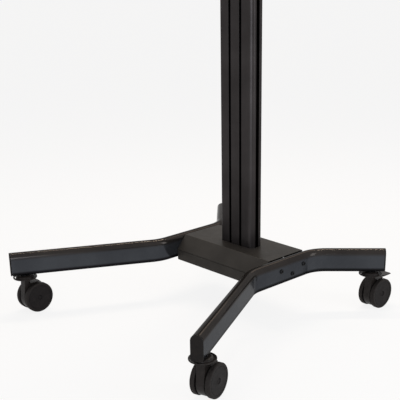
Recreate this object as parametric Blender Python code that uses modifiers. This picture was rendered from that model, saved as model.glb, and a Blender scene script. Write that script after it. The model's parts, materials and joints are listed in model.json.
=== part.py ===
"""A mobile stand for a large screen: two bent legs on twin-wheel casters, a low
base between them, a slotted column, and a mount that slides, tilts and widens.

Metres, +Z up, front towards -Y.  The origin is on the floor, in the middle of
the footprint.  Everything else is set out from the foot of the column.
"""
from math import acos, atan2, cos, degrees, pi, radians, sin, tan

import bmesh
import bpy
from mathutils import Matrix, Vector

NAME = "tv_cart"
MM = 0.001
GAP = 0.3 * MM                      # clearance between touching pieces
CUTTER_REACH = 10 * MM              # how far a cutter runs past the wall that it cuts

# The column stands this far behind the middle of the footprint.
COLUMN_Y = 145 * MM

# Legs: an arch-topped tube, bent twice.
LEG_WIDTH = 36 * MM
LEG_HEIGHT = 75.5 * MM
LEG_BOTTOM = 133.7 * MM
LEG_WALL = 2.5 * MM
LEG_CORNER = 7 * MM
LEG_MIDDLE_X = 215 * MM
FRONT_BEND_Y = -175 * MM
REAR_BEND_Y = 114.5 * MM
FRONT_TIP = (450.4 * MM, -614.4 * MM)
REAR_TIP = (385.3 * MM, 282.5 * MM)
BEND_RADIUS = 110 * MM
BEND_STEPS = 6
ARCH_STEPS = 8
CAP_THICKNESS = 4 * MM
CAP_PLUG = 16 * MM
CAP_EDGE = 0.8 * MM

# Bolts that hold each leg to the base.
BOLT_RADIUS = 4 * MM
BOLT_HEAD_RADIUS = 7.5 * MM
BOLT_HEAD_HEIGHT = 4.4 * MM
BOLT_SHOULDER = (6 * MM, 3.2 * MM)  # radius and height where the head's dome steepens
BOLT_FLAT = 3.6 * MM
BOLT_SOCKET_RADIUS = 2.8 * MM
BOLT_SOCKET_DEPTH = 2.5 * MM
BOLT_SIDES = 10
LEG_BOLT_LENGTH = 44 * MM
LEG_BOLT_MIDDLE_Y = -1.6 * MM
LEG_BOLT_PITCH = 52.5 * MM
LEG_BOLT_HIGH = 177 * MM
LEG_BOLT_LOW = 157 * MM

# Base: a folded chassis under a folded cover.
BASE_HALF = LEG_MIDDLE_X - LEG_WIDTH / 2 - GAP
BASE_TOP = 207.3 * MM
BASE_LEDGE = 163 * MM
BASE_BOTTOM = 123.6 * MM
BASE_TOP_FRONT = -74.7 * MM
BASE_FRONT = -113.1 * MM
BASE_REAR = 85.9 * MM
COVER_SHEET = 2 * MM
CHASSIS_SHEET = 3 * MM
CHASSIS_FOLD = 6 * MM
SIDE_PLATE_INSET = (1 * MM, 2 * MM)     # at the front and bottom, and at the rear
SIDE_PLATE_CHAMFER = 7 * MM
FASCIA_STEP = 1.2 * MM

# Column: an extrusion with a slot on each side and two on the front and back.
COLUMN_WIDTH = 145 * MM
COLUMN_DEPTH = 55 * MM
COLUMN_CORNER = 16 * MM
COLUMN_WALL = 3 * MM
COLUMN_TOP = 1650 * MM
SLOT_OFFSET = 23.2 * MM
SLOT_MOUTH = 9.6 * MM
SIDE_SLOT_MOUTH = 14 * MM
SLOT_LIP = 2.5 * MM
SLOT_CHANNEL = 18 * MM
SLOT_DEPTH = 8 * MM
SLOT_WALL = 2 * MM
FOOT_PLATE = (190 * MM, 94 * MM, 6 * MM)
FOOT_SOCKET = (118 * MM, 29 * MM, 60 * MM)
FOOT_PLATE_CORNER = 8 * MM
FOOT_SOCKET_CORNER = (5 * MM, 2 * MM)   # outside and inside
FOOT_WALL = 4 * MM
TOP_CAP = 5 * MM
TOP_CAP_EDGE = 1.2 * MM
TOP_CAP_PLUG = 18 * MM
TOP_CAP_PLUG_CORNER = 4 * MM

# Casters, measured from the floor under the swivel stem.
STEM_INSET = 45.2 * MM              # from the end of the leg
TRAIL = 30.4 * MM
WHEEL_RADIUS = 50.8 * MM
WHEEL_SIDES = 24
WHEEL_INNER = 16.8 * MM
WHEEL_OUTER = 31.5 * MM
AXLE_Z = WHEEL_RADIUS * cos(pi / WHEEL_SIDES)   # a wheel stands on one of its flats
HUB_RADIUS = 9 * MM
HUB_DIP = 1.6 * MM
DISC_INNER = 12 * MM
DISC_DIP = 0.4 * MM
RIM_WIDTH = 4.5 * MM
RIM_DROP = 3 * MM
RIM_CHAMFER = 2.5 * MM
HUB_SKIN = 4 * MM                   # from the wheel's outer face to the end of its bore
AXLE_RADIUS = 4 * MM
HOOD_HALF = 13.2 * MM
HOOD_RADIUS = 47.3 * MM
HOOD_EDGE = 2 * MM
NECK_HALF = 9.5 * MM
NECK_TOP = 117 * MM
NECK_OVERLAP = 6 * MM               # how deep the dome reaches into the neck
FIN_STEP = 2 * MM                   # from the fin's rear edge to the ledge's
DOME_RADIUS = 30.5 * MM
DOME_TOP = 130 * MM
DOME_FLAT = 18 * MM
DOME_SHOULDER = (27 * MM, 2.5 * MM) # radius, and how far below the top
DOME_SPRING = 6 * MM
DOME_SKIRT = 2 * MM
RING_RADIUS = 38.7 * MM
RING_INNER = 33.5 * MM
RING_TOP = 125.6 * MM
RING_THICKNESS = 4.6 * MM
RING_FLOOR = 2.4 * MM
RING_WINDOWS = ((218, 262), (278, 322))     # degrees from the axle, ahead of the stem
LEDGE = (48 * MM, 2.8 * MM)         # width and thickness of the shelf over the wheels
LEDGE_TOP = 106 * MM
LEDGE_FRONT = 6 * MM
LEDGE_REAR = 40 * MM
LEDGE_CORNER = 3 * MM
STEM_PIN = 6 * MM
STEM_PIN_LOW = 82 * MM
STEM_COLLAR = 15 * MM
STEM_THREAD = 5 * MM
STEM_TOP = 158 * MM
PEDAL_PIVOT = (44.5 * MM, 101.5 * MM)   # behind the stem, above the floor
PEDAL_HALF = 24 * MM
PEDAL_NECK = 9 * MM
PEDAL_LOW = 105.8 * MM              # heights and reach with the brake off
PEDAL_TIP_TOP = 109.2 * MM
PEDAL_ROOT_TOP = 109.8 * MM
PEDAL_REACH = 80.8 * MM
PEDAL_CORNER = 2.5 * MM
PEDAL_TRAVEL = 41                   # degrees, from off to on
PIVOT_RADIUS = 2 * MM
BARREL_RADIUS = 3.2 * MM
WEB_HALF = 2.9 * MM
EAR_INNER = 9.5 * MM
EAR_OUTER = 12.7 * MM
EAR_DROP = 8 * MM
EAR_ROOT = 4 * MM

# The way each caster trails, in degrees from +X, and whether it has a brake.
CASTERS = {
    "front_right": (1, -1, 105.6, False),
    "front_left": (-1, -1, 89.3, False),
    "rear_right": (1, 1, 89.4, True),
    "rear_left": (-1, 1, 92.0, True),
}

# Screen mount, about the axis it tilts on.
MOUNT_Z = 1400 * MM
TILT_Y = -72 * MM
CARRIAGE = (130 * MM, 220 * MM, 5 * MM)
CARRIAGE_BOLT_Z = 85 * MM
CARRIAGE_EAR_X = (51 * MM, 55 * MM)
HEAD_EAR_X = (45 * MM, 49 * MM)
EAR_RADIUS = 26 * MM
SLOT_BAR_LENGTH = 200 * MM
SLOT_BAR_CLEARANCE = 2 * MM         # behind the bar
CARRIAGE_CORNER = 8 * MM
TILT_PIN_RADIUS = 5 * MM
TILT_PIN_HALF = 70 * MM
KNOB_RADIUS = 17 * MM
KNOB_LOBES = 6
KNOB_LOBE_DEPTH = 0.07              # of the radius, either way from the middle
KNOB_WIDTH = 15 * MM
KNOB_EDGE = 1.2 * MM
KNOB_COLLAR = (10 * MM, 3 * MM)     # radius and length
HEAD_PLATE = (98 * MM, 150 * MM, 5 * MM)
HEAD_CORNER = 6 * MM
HEAD_FRONT = -105 * MM
RAIL_HALF = 300 * MM
RAIL_HEIGHT = 75 * MM
RAIL_SHEET = 3 * MM
RAIL_LIP_Y = -121 * MM
RAIL_LIP_RISE = 11 * MM
RAIL_BOLT_X = 32 * MM
RAIL_BOLT_SPARE = 8 * MM            # thread behind the head plate
ARM_X = 150 * MM
ARM_HALF_WIDTH = 15 * MM
ARM_HALF_LENGTH = 215 * MM
ARM_SHEET = 2.5 * MM
ARM_FRONT = -141 * MM
ARM_BACK = -123 * MM
HOOK_BACK = -112.5 * MM
HOOK_RISE = 97 * MM
HOOK_CLEARANCE = 1 * MM
HOOK_CHAMFER = 4 * MM
HOOK_SLOPE = (5 * MM, 8 * MM)       # under and over the hook's root
ARM_SLOTS = (60 * MM, 110 * MM, 160 * MM)
ARM_SLOT_HALF = 12 * MM
ARM_SLOT_RADIUS = 3.2 * MM
LOCK_RADIUS = 3 * MM
LOCK_GRIP = (11 * MM, 14 * MM)      # radius and height
LOCK_GRIP_EDGE = 2 * MM

FINISHES = {
    "leg_finish": ((0.055, 0.048, 0.048), 0.28, 0.6),
    "cap_plastic": ((0.030, 0.028, 0.026), 0.6, 0.0),
    "base_finish": ((0.060, 0.054, 0.050), 0.4, 0.3),
    "column_finish": ((0.040, 0.038, 0.038), 0.4, 0.7),
    "fastener": ((0.05, 0.05, 0.05), 0.35, 0.9),
    "caster_plastic": ((0.040, 0.038, 0.038), 0.5, 0.0),
    "wheel_tread": ((0.050, 0.048, 0.048), 0.6, 0.0),
    "bare_steel": ((0.55, 0.55, 0.56), 0.3, 1.0),
    "mount_finish": ((0.035, 0.035, 0.036), 0.45, 0.4),
}


# Scene and shape helpers

def clear_scene():
    for item in list(bpy.data.objects):
        bpy.data.objects.remove(item)


def new_collection(name):
    made = bpy.data.collections.new(name)
    bpy.context.scene.collection.children.link(made)
    return made


def make_materials():
    made = {}
    for name, (color, roughness, metallic) in FINISHES.items():
        material = bpy.data.materials.new(name)
        material.use_nodes = True
        shader = material.node_tree.nodes["Principled BSDF"]
        shader.inputs["Base Color"].default_value = (*color, 1.0)
        shader.inputs["Roughness"].default_value = roughness
        shader.inputs["Metallic"].default_value = metallic
        made[name] = material
    return made


def add_object(name, data):
    piece = bpy.data.objects.new(name, data)
    PARTS.objects.link(piece)
    return piece


def evaluated_mesh(piece):
    bpy.context.view_layer.update()
    graph = bpy.context.evaluated_depsgraph_get()
    return bpy.data.meshes.new_from_object(piece.evaluated_get(graph))


def bake(piece):
    """Apply the object's modifiers to its mesh."""
    mesh = evaluated_mesh(piece)
    piece.modifiers.clear()
    piece.data = mesh
    return piece


def tidy_mesh(mesh):
    """Weld the loose caps and clear the flat faces' inner edges."""
    work = bmesh.new()
    work.from_mesh(mesh)
    bmesh.ops.remove_doubles(work, verts=work.verts, dist=0.001 * MM)
    bmesh.ops.dissolve_limit(work, angle_limit=radians(0.5), verts=work.verts, edges=work.edges)
    bmesh.ops.recalc_face_normals(work, faces=work.faces)
    work.to_mesh(mesh)
    work.free()


def boolean(target, tool, operation):
    """Cut or join the target with the tool, then drop the tool."""
    change = target.modifiers.new(operation.title(), "BOOLEAN")
    change.operation = operation
    change.object = tool
    change.solver = "EXACT"
    bake(target)
    bpy.data.objects.remove(tool)
    return target


def cut(target, tool):
    return boolean(target, tool, "DIFFERENCE")


def join(target, tool):
    return boolean(target, tool, "UNION")


def soften(piece, width, segments=1):
    bevel = piece.modifiers.new("Bevel", "BEVEL")
    bevel.width = width
    bevel.segments = segments
    bevel.limit_method = "ANGLE"
    bevel.angle_limit = radians(40)
    return bake(piece)


def arc(centre, radius, start, end, steps):
    """Points along an arc, from one angle in degrees to another."""
    angles = [radians(start + (end - start) * step / steps) for step in range(steps + 1)]
    return [(centre[0] + radius * cos(angle), centre[1] + radius * sin(angle)) for angle in angles]


def rectangle(left, right, low, high):
    return [(left, low), (right, low), (right, high), (left, high)]


def rounded_rectangle(half_width, half_height, radius, steps=4):
    x = half_width - radius
    y = half_height - radius
    return (arc((x, -y), radius, -90, 0, steps) + arc((x, y), radius, 0, 90, steps)
            + arc((-x, y), radius, 90, 180, steps) + arc((-x, -y), radius, 180, 270, steps))


def filleted(points, radius, steps):
    """A route through the points with its corners rounded."""
    route = [Vector(points[0])]
    for before, corner, after in zip(points, points[1:], points[2:]):
        corner = Vector(corner)
        back = (Vector(before) - corner).normalized()
        ahead = (Vector(after) - corner).normalized()
        half = back.angle(ahead) / 2
        centre = corner + (back + ahead).normalized() * radius / sin(half)
        first = corner + back * radius / tan(half) - centre
        last = corner + ahead * radius / tan(half) - centre
        turn = first.angle_signed(last)
        start = atan2(first.y, first.x)
        for step in range(steps + 1):
            angle = start - turn * step / steps
            route.append(centre + Vector((cos(angle), sin(angle))) * radius)
    route.append(Vector(points[-1]))
    return route


# The matrices turn a flat drawing, extruded along its own Z, to face an axis.
FACING = {
    "X": Matrix(((0, 0, 1, 0), (1, 0, 0, 0), (0, 1, 0, 0), (0, 0, 0, 1))),
    "Y": Matrix(((1, 0, 0, 0), (0, 0, -1, 0), (0, 1, 0, 0), (0, 0, 0, 1))),
    "Z": Matrix.Identity(4),
}


def prism(name, outlines, low, high, axis="Z"):
    """Extrude flat outlines from low to high along an axis.

    An outline is drawn in Y and Z for axis X, in X and Z for axis Y, and in
    X and Y for axis Z.  Outlines inside the first are its holes.
    """
    curve = bpy.data.curves.new(name, "CURVE")
    curve.dimensions = "2D"
    curve.fill_mode = "BOTH"
    curve.extrude = (high - low) / 2
    for outline in outlines:
        spline = curve.splines.new("POLY")
        spline.points.add(len(outline) - 1)
        spline.use_cyclic_u = True
        for point, (across, along) in zip(spline.points, outline):
            point.co = (across, along, 0, 1)
    drawing = add_object(name, curve)
    mesh = evaluated_mesh(drawing)
    bpy.data.objects.remove(drawing)
    middle = (low + high) / 2
    shift = Matrix.Translation((0, 0, -middle if axis == "Y" else middle))
    mesh.transform(FACING[axis] @ shift)
    tidy_mesh(mesh)
    return add_object(name, mesh)


def rod(radius, low, high, axis="Z", centre=(0, 0), sides=16):
    """A round bar or cutter, drawn like a prism."""
    outline = arc(centre, radius, 0, 360, sides)[:-1]
    return prism("rod", [outline], low, high, axis)


def turned(name, profile, steps):
    """Turn a profile of (radius, height), given from top to bottom, about Z."""
    mesh = bpy.data.meshes.new(name)
    points = [(radius, 0, height) for radius, height in profile]
    mesh.from_pydata(points, [(i, i + 1) for i in range(len(points) - 1)], [])
    piece = add_object(name, mesh)
    screw = piece.modifiers.new("Screw", "SCREW")
    screw.axis = "Z"
    screw.steps = steps
    screw.render_steps = steps
    screw.use_merge_vertices = True
    screw.merge_threshold = 0.01 * MM
    return bake(piece)


def folded_sheet(name, points, thickness, half_width, radius=3 * MM):
    """A strip of sheet folded along X, its outer face on the (Y, Z) points."""
    route = filleted(points, radius, 2)
    work = bmesh.new()
    verts = [work.verts.new((-half_width, y, z)) for y, z in route]
    edges = [work.edges.new(pair) for pair in zip(verts, verts[1:])]
    grown = bmesh.ops.extrude_edge_only(work, edges=edges)["geom"]
    moved = [item for item in grown if isinstance(item, bmesh.types.BMVert)]
    bmesh.ops.translate(work, verts=moved, vec=(2 * half_width, 0, 0))
    bmesh.ops.recalc_face_normals(work, faces=work.faces)
    foremost = min(work.faces, key=lambda face: face.calc_center_median().y)
    if foremost.normal.y > 0:
        bmesh.ops.reverse_faces(work, faces=work.faces)
    mesh = bpy.data.meshes.new(name)
    work.to_mesh(mesh)
    work.free()
    sheet = add_object(name, mesh)
    shell = sheet.modifiers.new("Solidify", "SOLIDIFY")
    shell.thickness = thickness
    shell.use_even_offset = True
    shell.offset = -1
    return bake(sheet)


def finish(piece, material, smooth_angle=35):
    """Give a piece its one material and its shading."""
    mesh = piece.data
    mesh.materials.clear()
    mesh.materials.append(MATERIALS[material])
    mesh.shade_smooth()
    mesh.set_sharp_from_angle(angle=radians(smooth_angle))
    return piece


def place(piece, parent, location=(0, 0, 0), rotation=(0, 0, 0)):
    piece.parent = parent
    piece.location = location
    piece.rotation_euler = rotation
    return piece


def new_empty(name, parent=None, location=(0, 0, 0), rotation=(0, 0, 0)):
    empty = bpy.data.objects.new(name, None)
    PARTS.objects.link(empty)
    return place(empty, parent, location, rotation)


def copy_of(piece, name):
    return add_object(name, piece.data)


# Legs

def leg_outline(inset=0.0):
    """The tube's section: flat sides, an arched top and rounded lower corners."""
    half = LEG_WIDTH / 2 - inset
    spring = LEG_HEIGHT - LEG_WIDTH / 2
    corner = LEG_CORNER - inset
    low = inset + corner
    return (arc((half - corner, low), corner, -90, 0, 2)
            + arc((0, spring), half, 0, 180, ARCH_STEPS)
            + arc((corner - half, low), corner, 180, 270, 2))


def leg_directions(side):
    """Unit vectors along the front and the rear end of a leg, pointing out."""
    front = Vector((side * (FRONT_TIP[0] - LEG_MIDDLE_X), FRONT_TIP[1] - FRONT_BEND_Y))
    rear = Vector((side * (REAR_TIP[0] - LEG_MIDDLE_X), REAR_TIP[1] - REAR_BEND_Y))
    return front.normalized(), rear.normalized()


def leg_tip(side, end):
    """A leg's end face and the way it points: end is -1 at the front, 1 at the rear."""
    front, rear = leg_directions(side)
    tip, way = (FRONT_TIP, front) if end < 0 else (REAR_TIP, rear)
    return Vector((side * tip[0], tip[1])), way


def stem_spot(side, end):
    tip, way = leg_tip(side, end)
    return tip - way * STEM_INSET


def swept_tube(name, route, outline):
    """Sweep an upright outline along a level route, and leave the ends open."""
    section = bpy.data.curves.new("section", "CURVE")
    section.dimensions = "2D"
    loop = section.splines.new("POLY")
    loop.points.add(len(outline) - 1)
    loop.use_cyclic_u = True
    for point, (across, up) in zip(loop.points, outline):
        point.co = (across, up, 0, 1)
    section_object = add_object("section", section)
    path = bpy.data.curves.new(name, "CURVE")
    path.dimensions = "3D"
    path.twist_mode = "Z_UP"
    path.bevel_mode = "OBJECT"
    path.bevel_object = section_object
    spline = path.splines.new("POLY")
    spline.points.add(len(route) - 1)
    for point, (x, y) in zip(spline.points, route):
        point.co = (x, y, 0, 1)
    path_object = add_object(name, path)
    mesh = evaluated_mesh(path_object)
    bpy.data.objects.remove(path_object)
    bpy.data.objects.remove(section_object)
    return add_object(name, mesh)


def make_leg(side, name):
    ends = []
    for end in (-1, 1):
        tip, way = leg_tip(side, end)
        ends.append(tip - way * (CAP_THICKNESS + GAP))
    corners = [ends[0], (side * LEG_MIDDLE_X, FRONT_BEND_Y), (side * LEG_MIDDLE_X, REAR_BEND_Y), ends[1]]
    tube = swept_tube(name, filleted(corners, BEND_RADIUS, BEND_STEPS), leg_outline())
    tube.data.transform(Matrix.Translation((0, 0, LEG_BOTTOM)))
    work = bmesh.new()
    work.from_mesh(tube.data)
    bmesh.ops.recalc_face_normals(work, faces=work.faces)
    work.to_mesh(tube.data)
    work.free()
    wall = tube.modifiers.new("Solidify", "SOLIDIFY")
    wall.thickness = LEG_WALL
    wall.offset = -1
    wall.use_even_offset = True
    bake(tube)
    for end in (-1, 1):
        spot = stem_spot(side, end)
        hole = rod(STEM_THREAD + GAP, LEG_BOTTOM - CUTTER_REACH, LEG_BOTTOM + CUTTER_REACH, centre=spot)
        cut(tube, hole)
    for y, z in leg_bolt_spots():
        outer = side * (LEG_MIDDLE_X + LEG_WIDTH)
        inner = side * (LEG_MIDDLE_X - LEG_WIDTH)
        hole = rod(BOLT_RADIUS + GAP, min(outer, inner), max(outer, inner), "X", (y, z), BOLT_SIDES)
        cut(tube, hole)
    finish(tube, "leg_finish")
    return place(tube, ROOT)


def make_leg_cap_mesh():
    """An end cap, drawn lying in X and Y with its outer face at Z = 0."""
    face = prism("cap", [leg_outline()], -CAP_THICKNESS, 0)
    soften(face, CAP_EDGE)
    plug = prism("plug", [leg_outline(LEG_WALL + GAP)], -CAP_PLUG, -CAP_THICKNESS / 2)
    return finish(join(face, plug), "cap_plastic")


def make_legs():
    cap = make_leg_cap_mesh()
    bolt = make_bolt("bolt", LEG_BOLT_LENGTH)
    for side, side_name in ((1, "right"), (-1, "left")):
        make_leg(side, "leg_" + side_name)
        for end, end_name in ((-1, "front"), (1, "rear")):
            tip, way = leg_tip(side, end)
            upright = Matrix.Rotation(atan2(way.y, way.x) + pi / 2, 4, "Z") @ Matrix.Rotation(pi / 2, 4, "X")
            piece = copy_of(cap, "leg_cap_%s_%s" % (end_name, side_name))
            place(piece, ROOT, (tip.x, tip.y, LEG_BOTTOM), upright.to_euler())
        for (y, z), spot in zip(leg_bolt_spots(), ("front", "middle", "rear")):
            face = side * (LEG_MIDDLE_X + LEG_WIDTH / 2 + GAP)
            piece = copy_of(bolt, "leg_bolt_%s_%s" % (side_name, spot))
            place(piece, ROOT, (face, y, z), (0, side * pi / 2, 0))
    bpy.data.objects.remove(cap)
    bpy.data.objects.remove(bolt)


# Fasteners

def leg_bolt_spots():
    """Where the leg bolts pass, as (Y, Z), from front to rear."""
    middle = LEG_BOLT_MIDDLE_Y
    return ((middle - LEG_BOLT_PITCH, LEG_BOLT_HIGH), (middle, LEG_BOLT_LOW),
            (middle + LEG_BOLT_PITCH, LEG_BOLT_HIGH))


def make_bolt(name, length):
    """A button-head bolt on Z, its head above Z = 0 and its socket a hexagon."""
    rise = BOLT_HEAD_HEIGHT
    profile = [(0, rise), (BOLT_FLAT, rise), BOLT_SHOULDER, (BOLT_HEAD_RADIUS, 0),
               (BOLT_RADIUS, 0), (BOLT_RADIUS, -length), (0, -length)]
    bolt = turned(name, profile, BOLT_SIDES)
    socket = rod(BOLT_SOCKET_RADIUS, rise - BOLT_SOCKET_DEPTH, rise + MM, sides=6)
    return finish(cut(bolt, socket), "fastener")


# Base

def cover_slope(height, inset):
    """Y of the cover's sloped front at a height, drawn in by an inset."""
    run = BASE_TOP_FRONT - BASE_FRONT
    rise = BASE_TOP - BASE_LEDGE
    length = (run * run + rise * rise) ** 0.5
    return BASE_FRONT + (height - BASE_LEDGE) * run / rise + inset * length / rise


def make_base_cover():
    points = [(BASE_FRONT, BASE_LEDGE), (BASE_TOP_FRONT, BASE_TOP), (BASE_REAR, BASE_TOP),
              (BASE_REAR, BASE_LEDGE - COVER_SHEET)]
    cover = folded_sheet("base_cover", points, COVER_SHEET, BASE_HALF)
    opening = rounded_rectangle(COLUMN_WIDTH / 2 + GAP, COLUMN_DEPTH / 2 + GAP, COLUMN_CORNER)
    cut(cover, prism("opening", [opening], BASE_TOP - CUTTER_REACH, BASE_TOP + CUTTER_REACH))
    finish(cover, "base_finish")
    return place(cover, ROOT)


def make_base_chassis():
    front = BASE_FRONT + FASCIA_STEP
    rear = BASE_REAR - FASCIA_STEP
    top = BASE_LEDGE - COVER_SHEET - GAP
    points = [(front, top), (front, BASE_BOTTOM), (rear, BASE_BOTTOM), (rear, top)]
    chassis = folded_sheet("base_chassis", points, CHASSIS_SHEET, BASE_HALF, CHASSIS_FOLD)
    inset = COVER_SHEET + 2 * GAP
    high = BASE_TOP - inset
    front_inset, rear_inset = SIDE_PLATE_INSET
    plate_front = front + front_inset
    plate_rear = rear - rear_inset
    low = BASE_BOTTOM + front_inset
    outline = [(plate_front, low + SIDE_PLATE_CHAMFER), (plate_front + SIDE_PLATE_CHAMFER, low),
               (plate_rear - SIDE_PLATE_CHAMFER, low), (plate_rear, low + SIDE_PLATE_CHAMFER),
               (plate_rear, high), (cover_slope(high, inset), high),
               (cover_slope(top, inset), top), (plate_front, top)]
    for side in (1, -1):
        edges = sorted((side * BASE_HALF, side * (BASE_HALF - CHASSIS_SHEET)))
        join(chassis, prism("side_plate", [outline], edges[0], edges[1], "X"))
    for y, z in leg_bolt_spots():
        hole = rod(BOLT_RADIUS + GAP, -BASE_HALF - MM, BASE_HALF + MM, "X", (y, z), BOLT_SIDES)
        cut(chassis, hole)
    finish(chassis, "base_finish")
    return place(chassis, ROOT)


def foot_top():
    return BASE_BOTTOM + CHASSIS_SHEET + GAP + FOOT_PLATE[2]


def make_column_foot():
    """The welded foot: a plate on the chassis and a socket inside the column."""
    width, depth, thickness = FOOT_PLATE
    low = foot_top() - thickness
    plate = rounded_rectangle(width / 2, depth / 2, FOOT_PLATE_CORNER, 2)
    foot = prism("column_foot", [plate], low, foot_top())
    width, depth, height = FOOT_SOCKET
    outside, inside = FOOT_SOCKET_CORNER
    outer = rounded_rectangle(width / 2, depth / 2, outside, 2)
    inner = rounded_rectangle(width / 2 - FOOT_WALL, depth / 2 - FOOT_WALL, inside, 1)
    join(foot, prism("socket", [outer, inner], foot_top() - MM, foot_top() + height))
    finish(foot, "fastener")
    return place(foot, ROOT)


# Column

def walk_column(half_width, half_depth, corner, notches):
    """Go round a rounded rectangle, with a notch drawn into each face."""
    outline = []
    faces = ((Vector((1, 0)), half_depth, half_width), (Vector((0, 1)), half_width, half_depth),
             (Vector((-1, 0)), half_depth, half_width), (Vector((0, -1)), half_width, half_depth))
    for index, (ahead, out, reach) in enumerate(faces):
        inward = Vector((-ahead.y, ahead.x))
        for offset, shape in notches[index % 2]:
            for along, depth in shape:
                outline.append(tuple(ahead * (offset + along) + inward * (depth - out)))
        turn = ahead * (reach - corner) + inward * (corner - out)
        start = -90 + 90 * index
        outline += arc(turn, corner, start, start + 90, 5)
    return outline


def slot_notch(mouth):
    """A T-slot, as (along, depth) steps from one lip to the other."""
    lip = mouth / 2
    side = SLOT_CHANNEL / 2
    floor = SLOT_LIP + SLOT_DEPTH
    return ((-lip, 0), (-lip, SLOT_LIP), (-side, SLOT_LIP), (-side, floor),
            (side, floor), (side, SLOT_LIP), (lip, SLOT_LIP), (lip, 0))


def wall_notch():
    """The wall round a T-slot, as it shows from inside the column."""
    side = SLOT_CHANNEL / 2 + SLOT_WALL
    floor = SLOT_LIP + SLOT_DEPTH + SLOT_WALL - COLUMN_WALL
    return ((-side, 0), (-side, floor), (side, floor), (side, 0))


def column_outlines():
    front = slot_notch(SLOT_MOUTH)
    notches = (((-SLOT_OFFSET, front), (SLOT_OFFSET, front)), ((0, slot_notch(SIDE_SLOT_MOUTH)),))
    outer = walk_column(COLUMN_WIDTH / 2, COLUMN_DEPTH / 2, COLUMN_CORNER, notches)
    wall = wall_notch()
    notches = (((-SLOT_OFFSET, wall), (SLOT_OFFSET, wall)), ((0, wall),))
    inner = walk_column(COLUMN_WIDTH / 2 - COLUMN_WALL, COLUMN_DEPTH / 2 - COLUMN_WALL,
                        COLUMN_CORNER - COLUMN_WALL, notches)
    return outer, inner


def make_column():
    column = prism("column", column_outlines(), foot_top() + GAP, COLUMN_TOP)
    finish(column, "column_finish")
    return place(column, ROOT)


def make_column_cap():
    low = COLUMN_TOP + GAP
    face = prism("column_cap", [rounded_rectangle(COLUMN_WIDTH / 2, COLUMN_DEPTH / 2, COLUMN_CORNER, 5)],
                 low, low + TOP_CAP)
    soften(face, TOP_CAP_EDGE)
    plug_half = COLUMN_DEPTH / 2 - SLOT_LIP - SLOT_DEPTH - SLOT_WALL - GAP
    plug = rounded_rectangle(FOOT_SOCKET[0] / 2, plug_half, TOP_CAP_PLUG_CORNER, 2)
    join(face, prism("plug", [plug], low - TOP_CAP_PLUG, low + MM))
    finish(face, "cap_plastic")
    return place(face, ROOT)


# Casters

def make_stem_mesh():
    """The threaded stem, its collar under the leg and the pin the hood turns on."""
    under_leg = LEG_BOTTOM - GAP
    profile = [(0, STEM_TOP), (STEM_THREAD - MM, STEM_TOP), (STEM_THREAD, STEM_TOP - MM),
               (STEM_THREAD, under_leg), (STEM_COLLAR, under_leg), (STEM_COLLAR, DOME_TOP + GAP),
               (STEM_PIN, DOME_TOP + GAP), (STEM_PIN, STEM_PIN_LOW), (0, STEM_PIN_LOW)]
    return finish(turned("stem", profile, 16), "fastener")


def ring_window(start, end):
    """An opening in the floor between the ring and the dome."""
    return arc((0, 0), RING_INNER, start, end, 3) + arc((0, 0), DOME_RADIUS - MM, end, start, 2)


def make_hood_mesh(braked):
    """The swivelling body: a fin between the wheels, a neck, a dome, a ring and a ledge."""
    axle = (TRAIL, AXLE_Z)
    y, z = PEDAL_PIVOT
    width, thickness = LEDGE
    under = LEDGE_TOP - thickness + MM
    step = LEDGE_REAR - FIN_STEP
    leave = degrees(acos((step - TRAIL) / HOOD_RADIUS))
    fin = ([(-NECK_HALF, NECK_TOP)] + arc(axle, HOOD_RADIUS, 180, 360 + leave, 18)
           + [(step, under), (NECK_HALF, under), (NECK_HALF, NECK_TOP)])
    hood = prism("hood", [fin], -HOOD_HALF, HOOD_HALF, "X")
    soften(hood, HOOD_EDGE)
    shoulder_radius, shoulder_drop = DOME_SHOULDER
    inside_neck = NECK_TOP - NECK_OVERLAP
    dome = turned("dome", [(0, DOME_TOP), (DOME_FLAT, DOME_TOP), (shoulder_radius, DOME_TOP - shoulder_drop),
                           (DOME_RADIUS, DOME_TOP - DOME_SPRING), (DOME_RADIUS, NECK_TOP + DOME_SKIRT),
                           (NECK_HALF - MM, inside_neck), (0, inside_neck)], 16)
    join(hood, dome)
    outside = arc((0, 0), RING_RADIUS, 0, 360, 24)[:-1]
    inside = arc((0, 0), RING_INNER, 0, 360, 24)[:-1]
    floor = arc((0, 0), RING_INNER + MM, 0, 360, 24)[:-1]
    low = RING_TOP - RING_THICKNESS
    join(hood, prism("floor", [floor] + [ring_window(*span) for span in RING_WINDOWS], low, low + RING_FLOOR))
    join(hood, prism("ring", [outside, inside], low, RING_TOP))
    ledge = rounded_rectangle(width / 2, (LEDGE_REAR - LEDGE_FRONT) / 2, LEDGE_CORNER, 2)
    middle = (LEDGE_REAR + LEDGE_FRONT) / 2
    ledge = [(across, along + middle) for across, along in ledge]
    join(hood, prism("ledge", [ledge], LEDGE_TOP - thickness, LEDGE_TOP))
    if braked:
        ear = [(step - EAR_ROOT, z - EAR_DROP), (LEDGE_REAR, z - EAR_DROP)]
        ear += arc((y, z), BARREL_RADIUS, -60, 90, 5) + [(step - EAR_ROOT, z + BARREL_RADIUS)]
        for side in (1, -1):
            edges = sorted((side * EAR_INNER, side * EAR_OUTER))
            join(hood, prism("ear", [ear], edges[0], edges[1], "X"))
        cut(hood, rod(PIVOT_RADIUS + GAP, -HOOD_HALF - MM, HOOD_HALF + MM, "X", PEDAL_PIVOT, 8))
    cut(hood, rod(AXLE_RADIUS + GAP, -HOOD_HALF - MM, HOOD_HALF + MM, "X", axle, 12))
    cut(hood, rod(STEM_PIN + GAP, STEM_PIN_LOW - GAP, DOME_TOP + MM, sides=16))
    return finish(hood, "caster_plastic")


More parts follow.
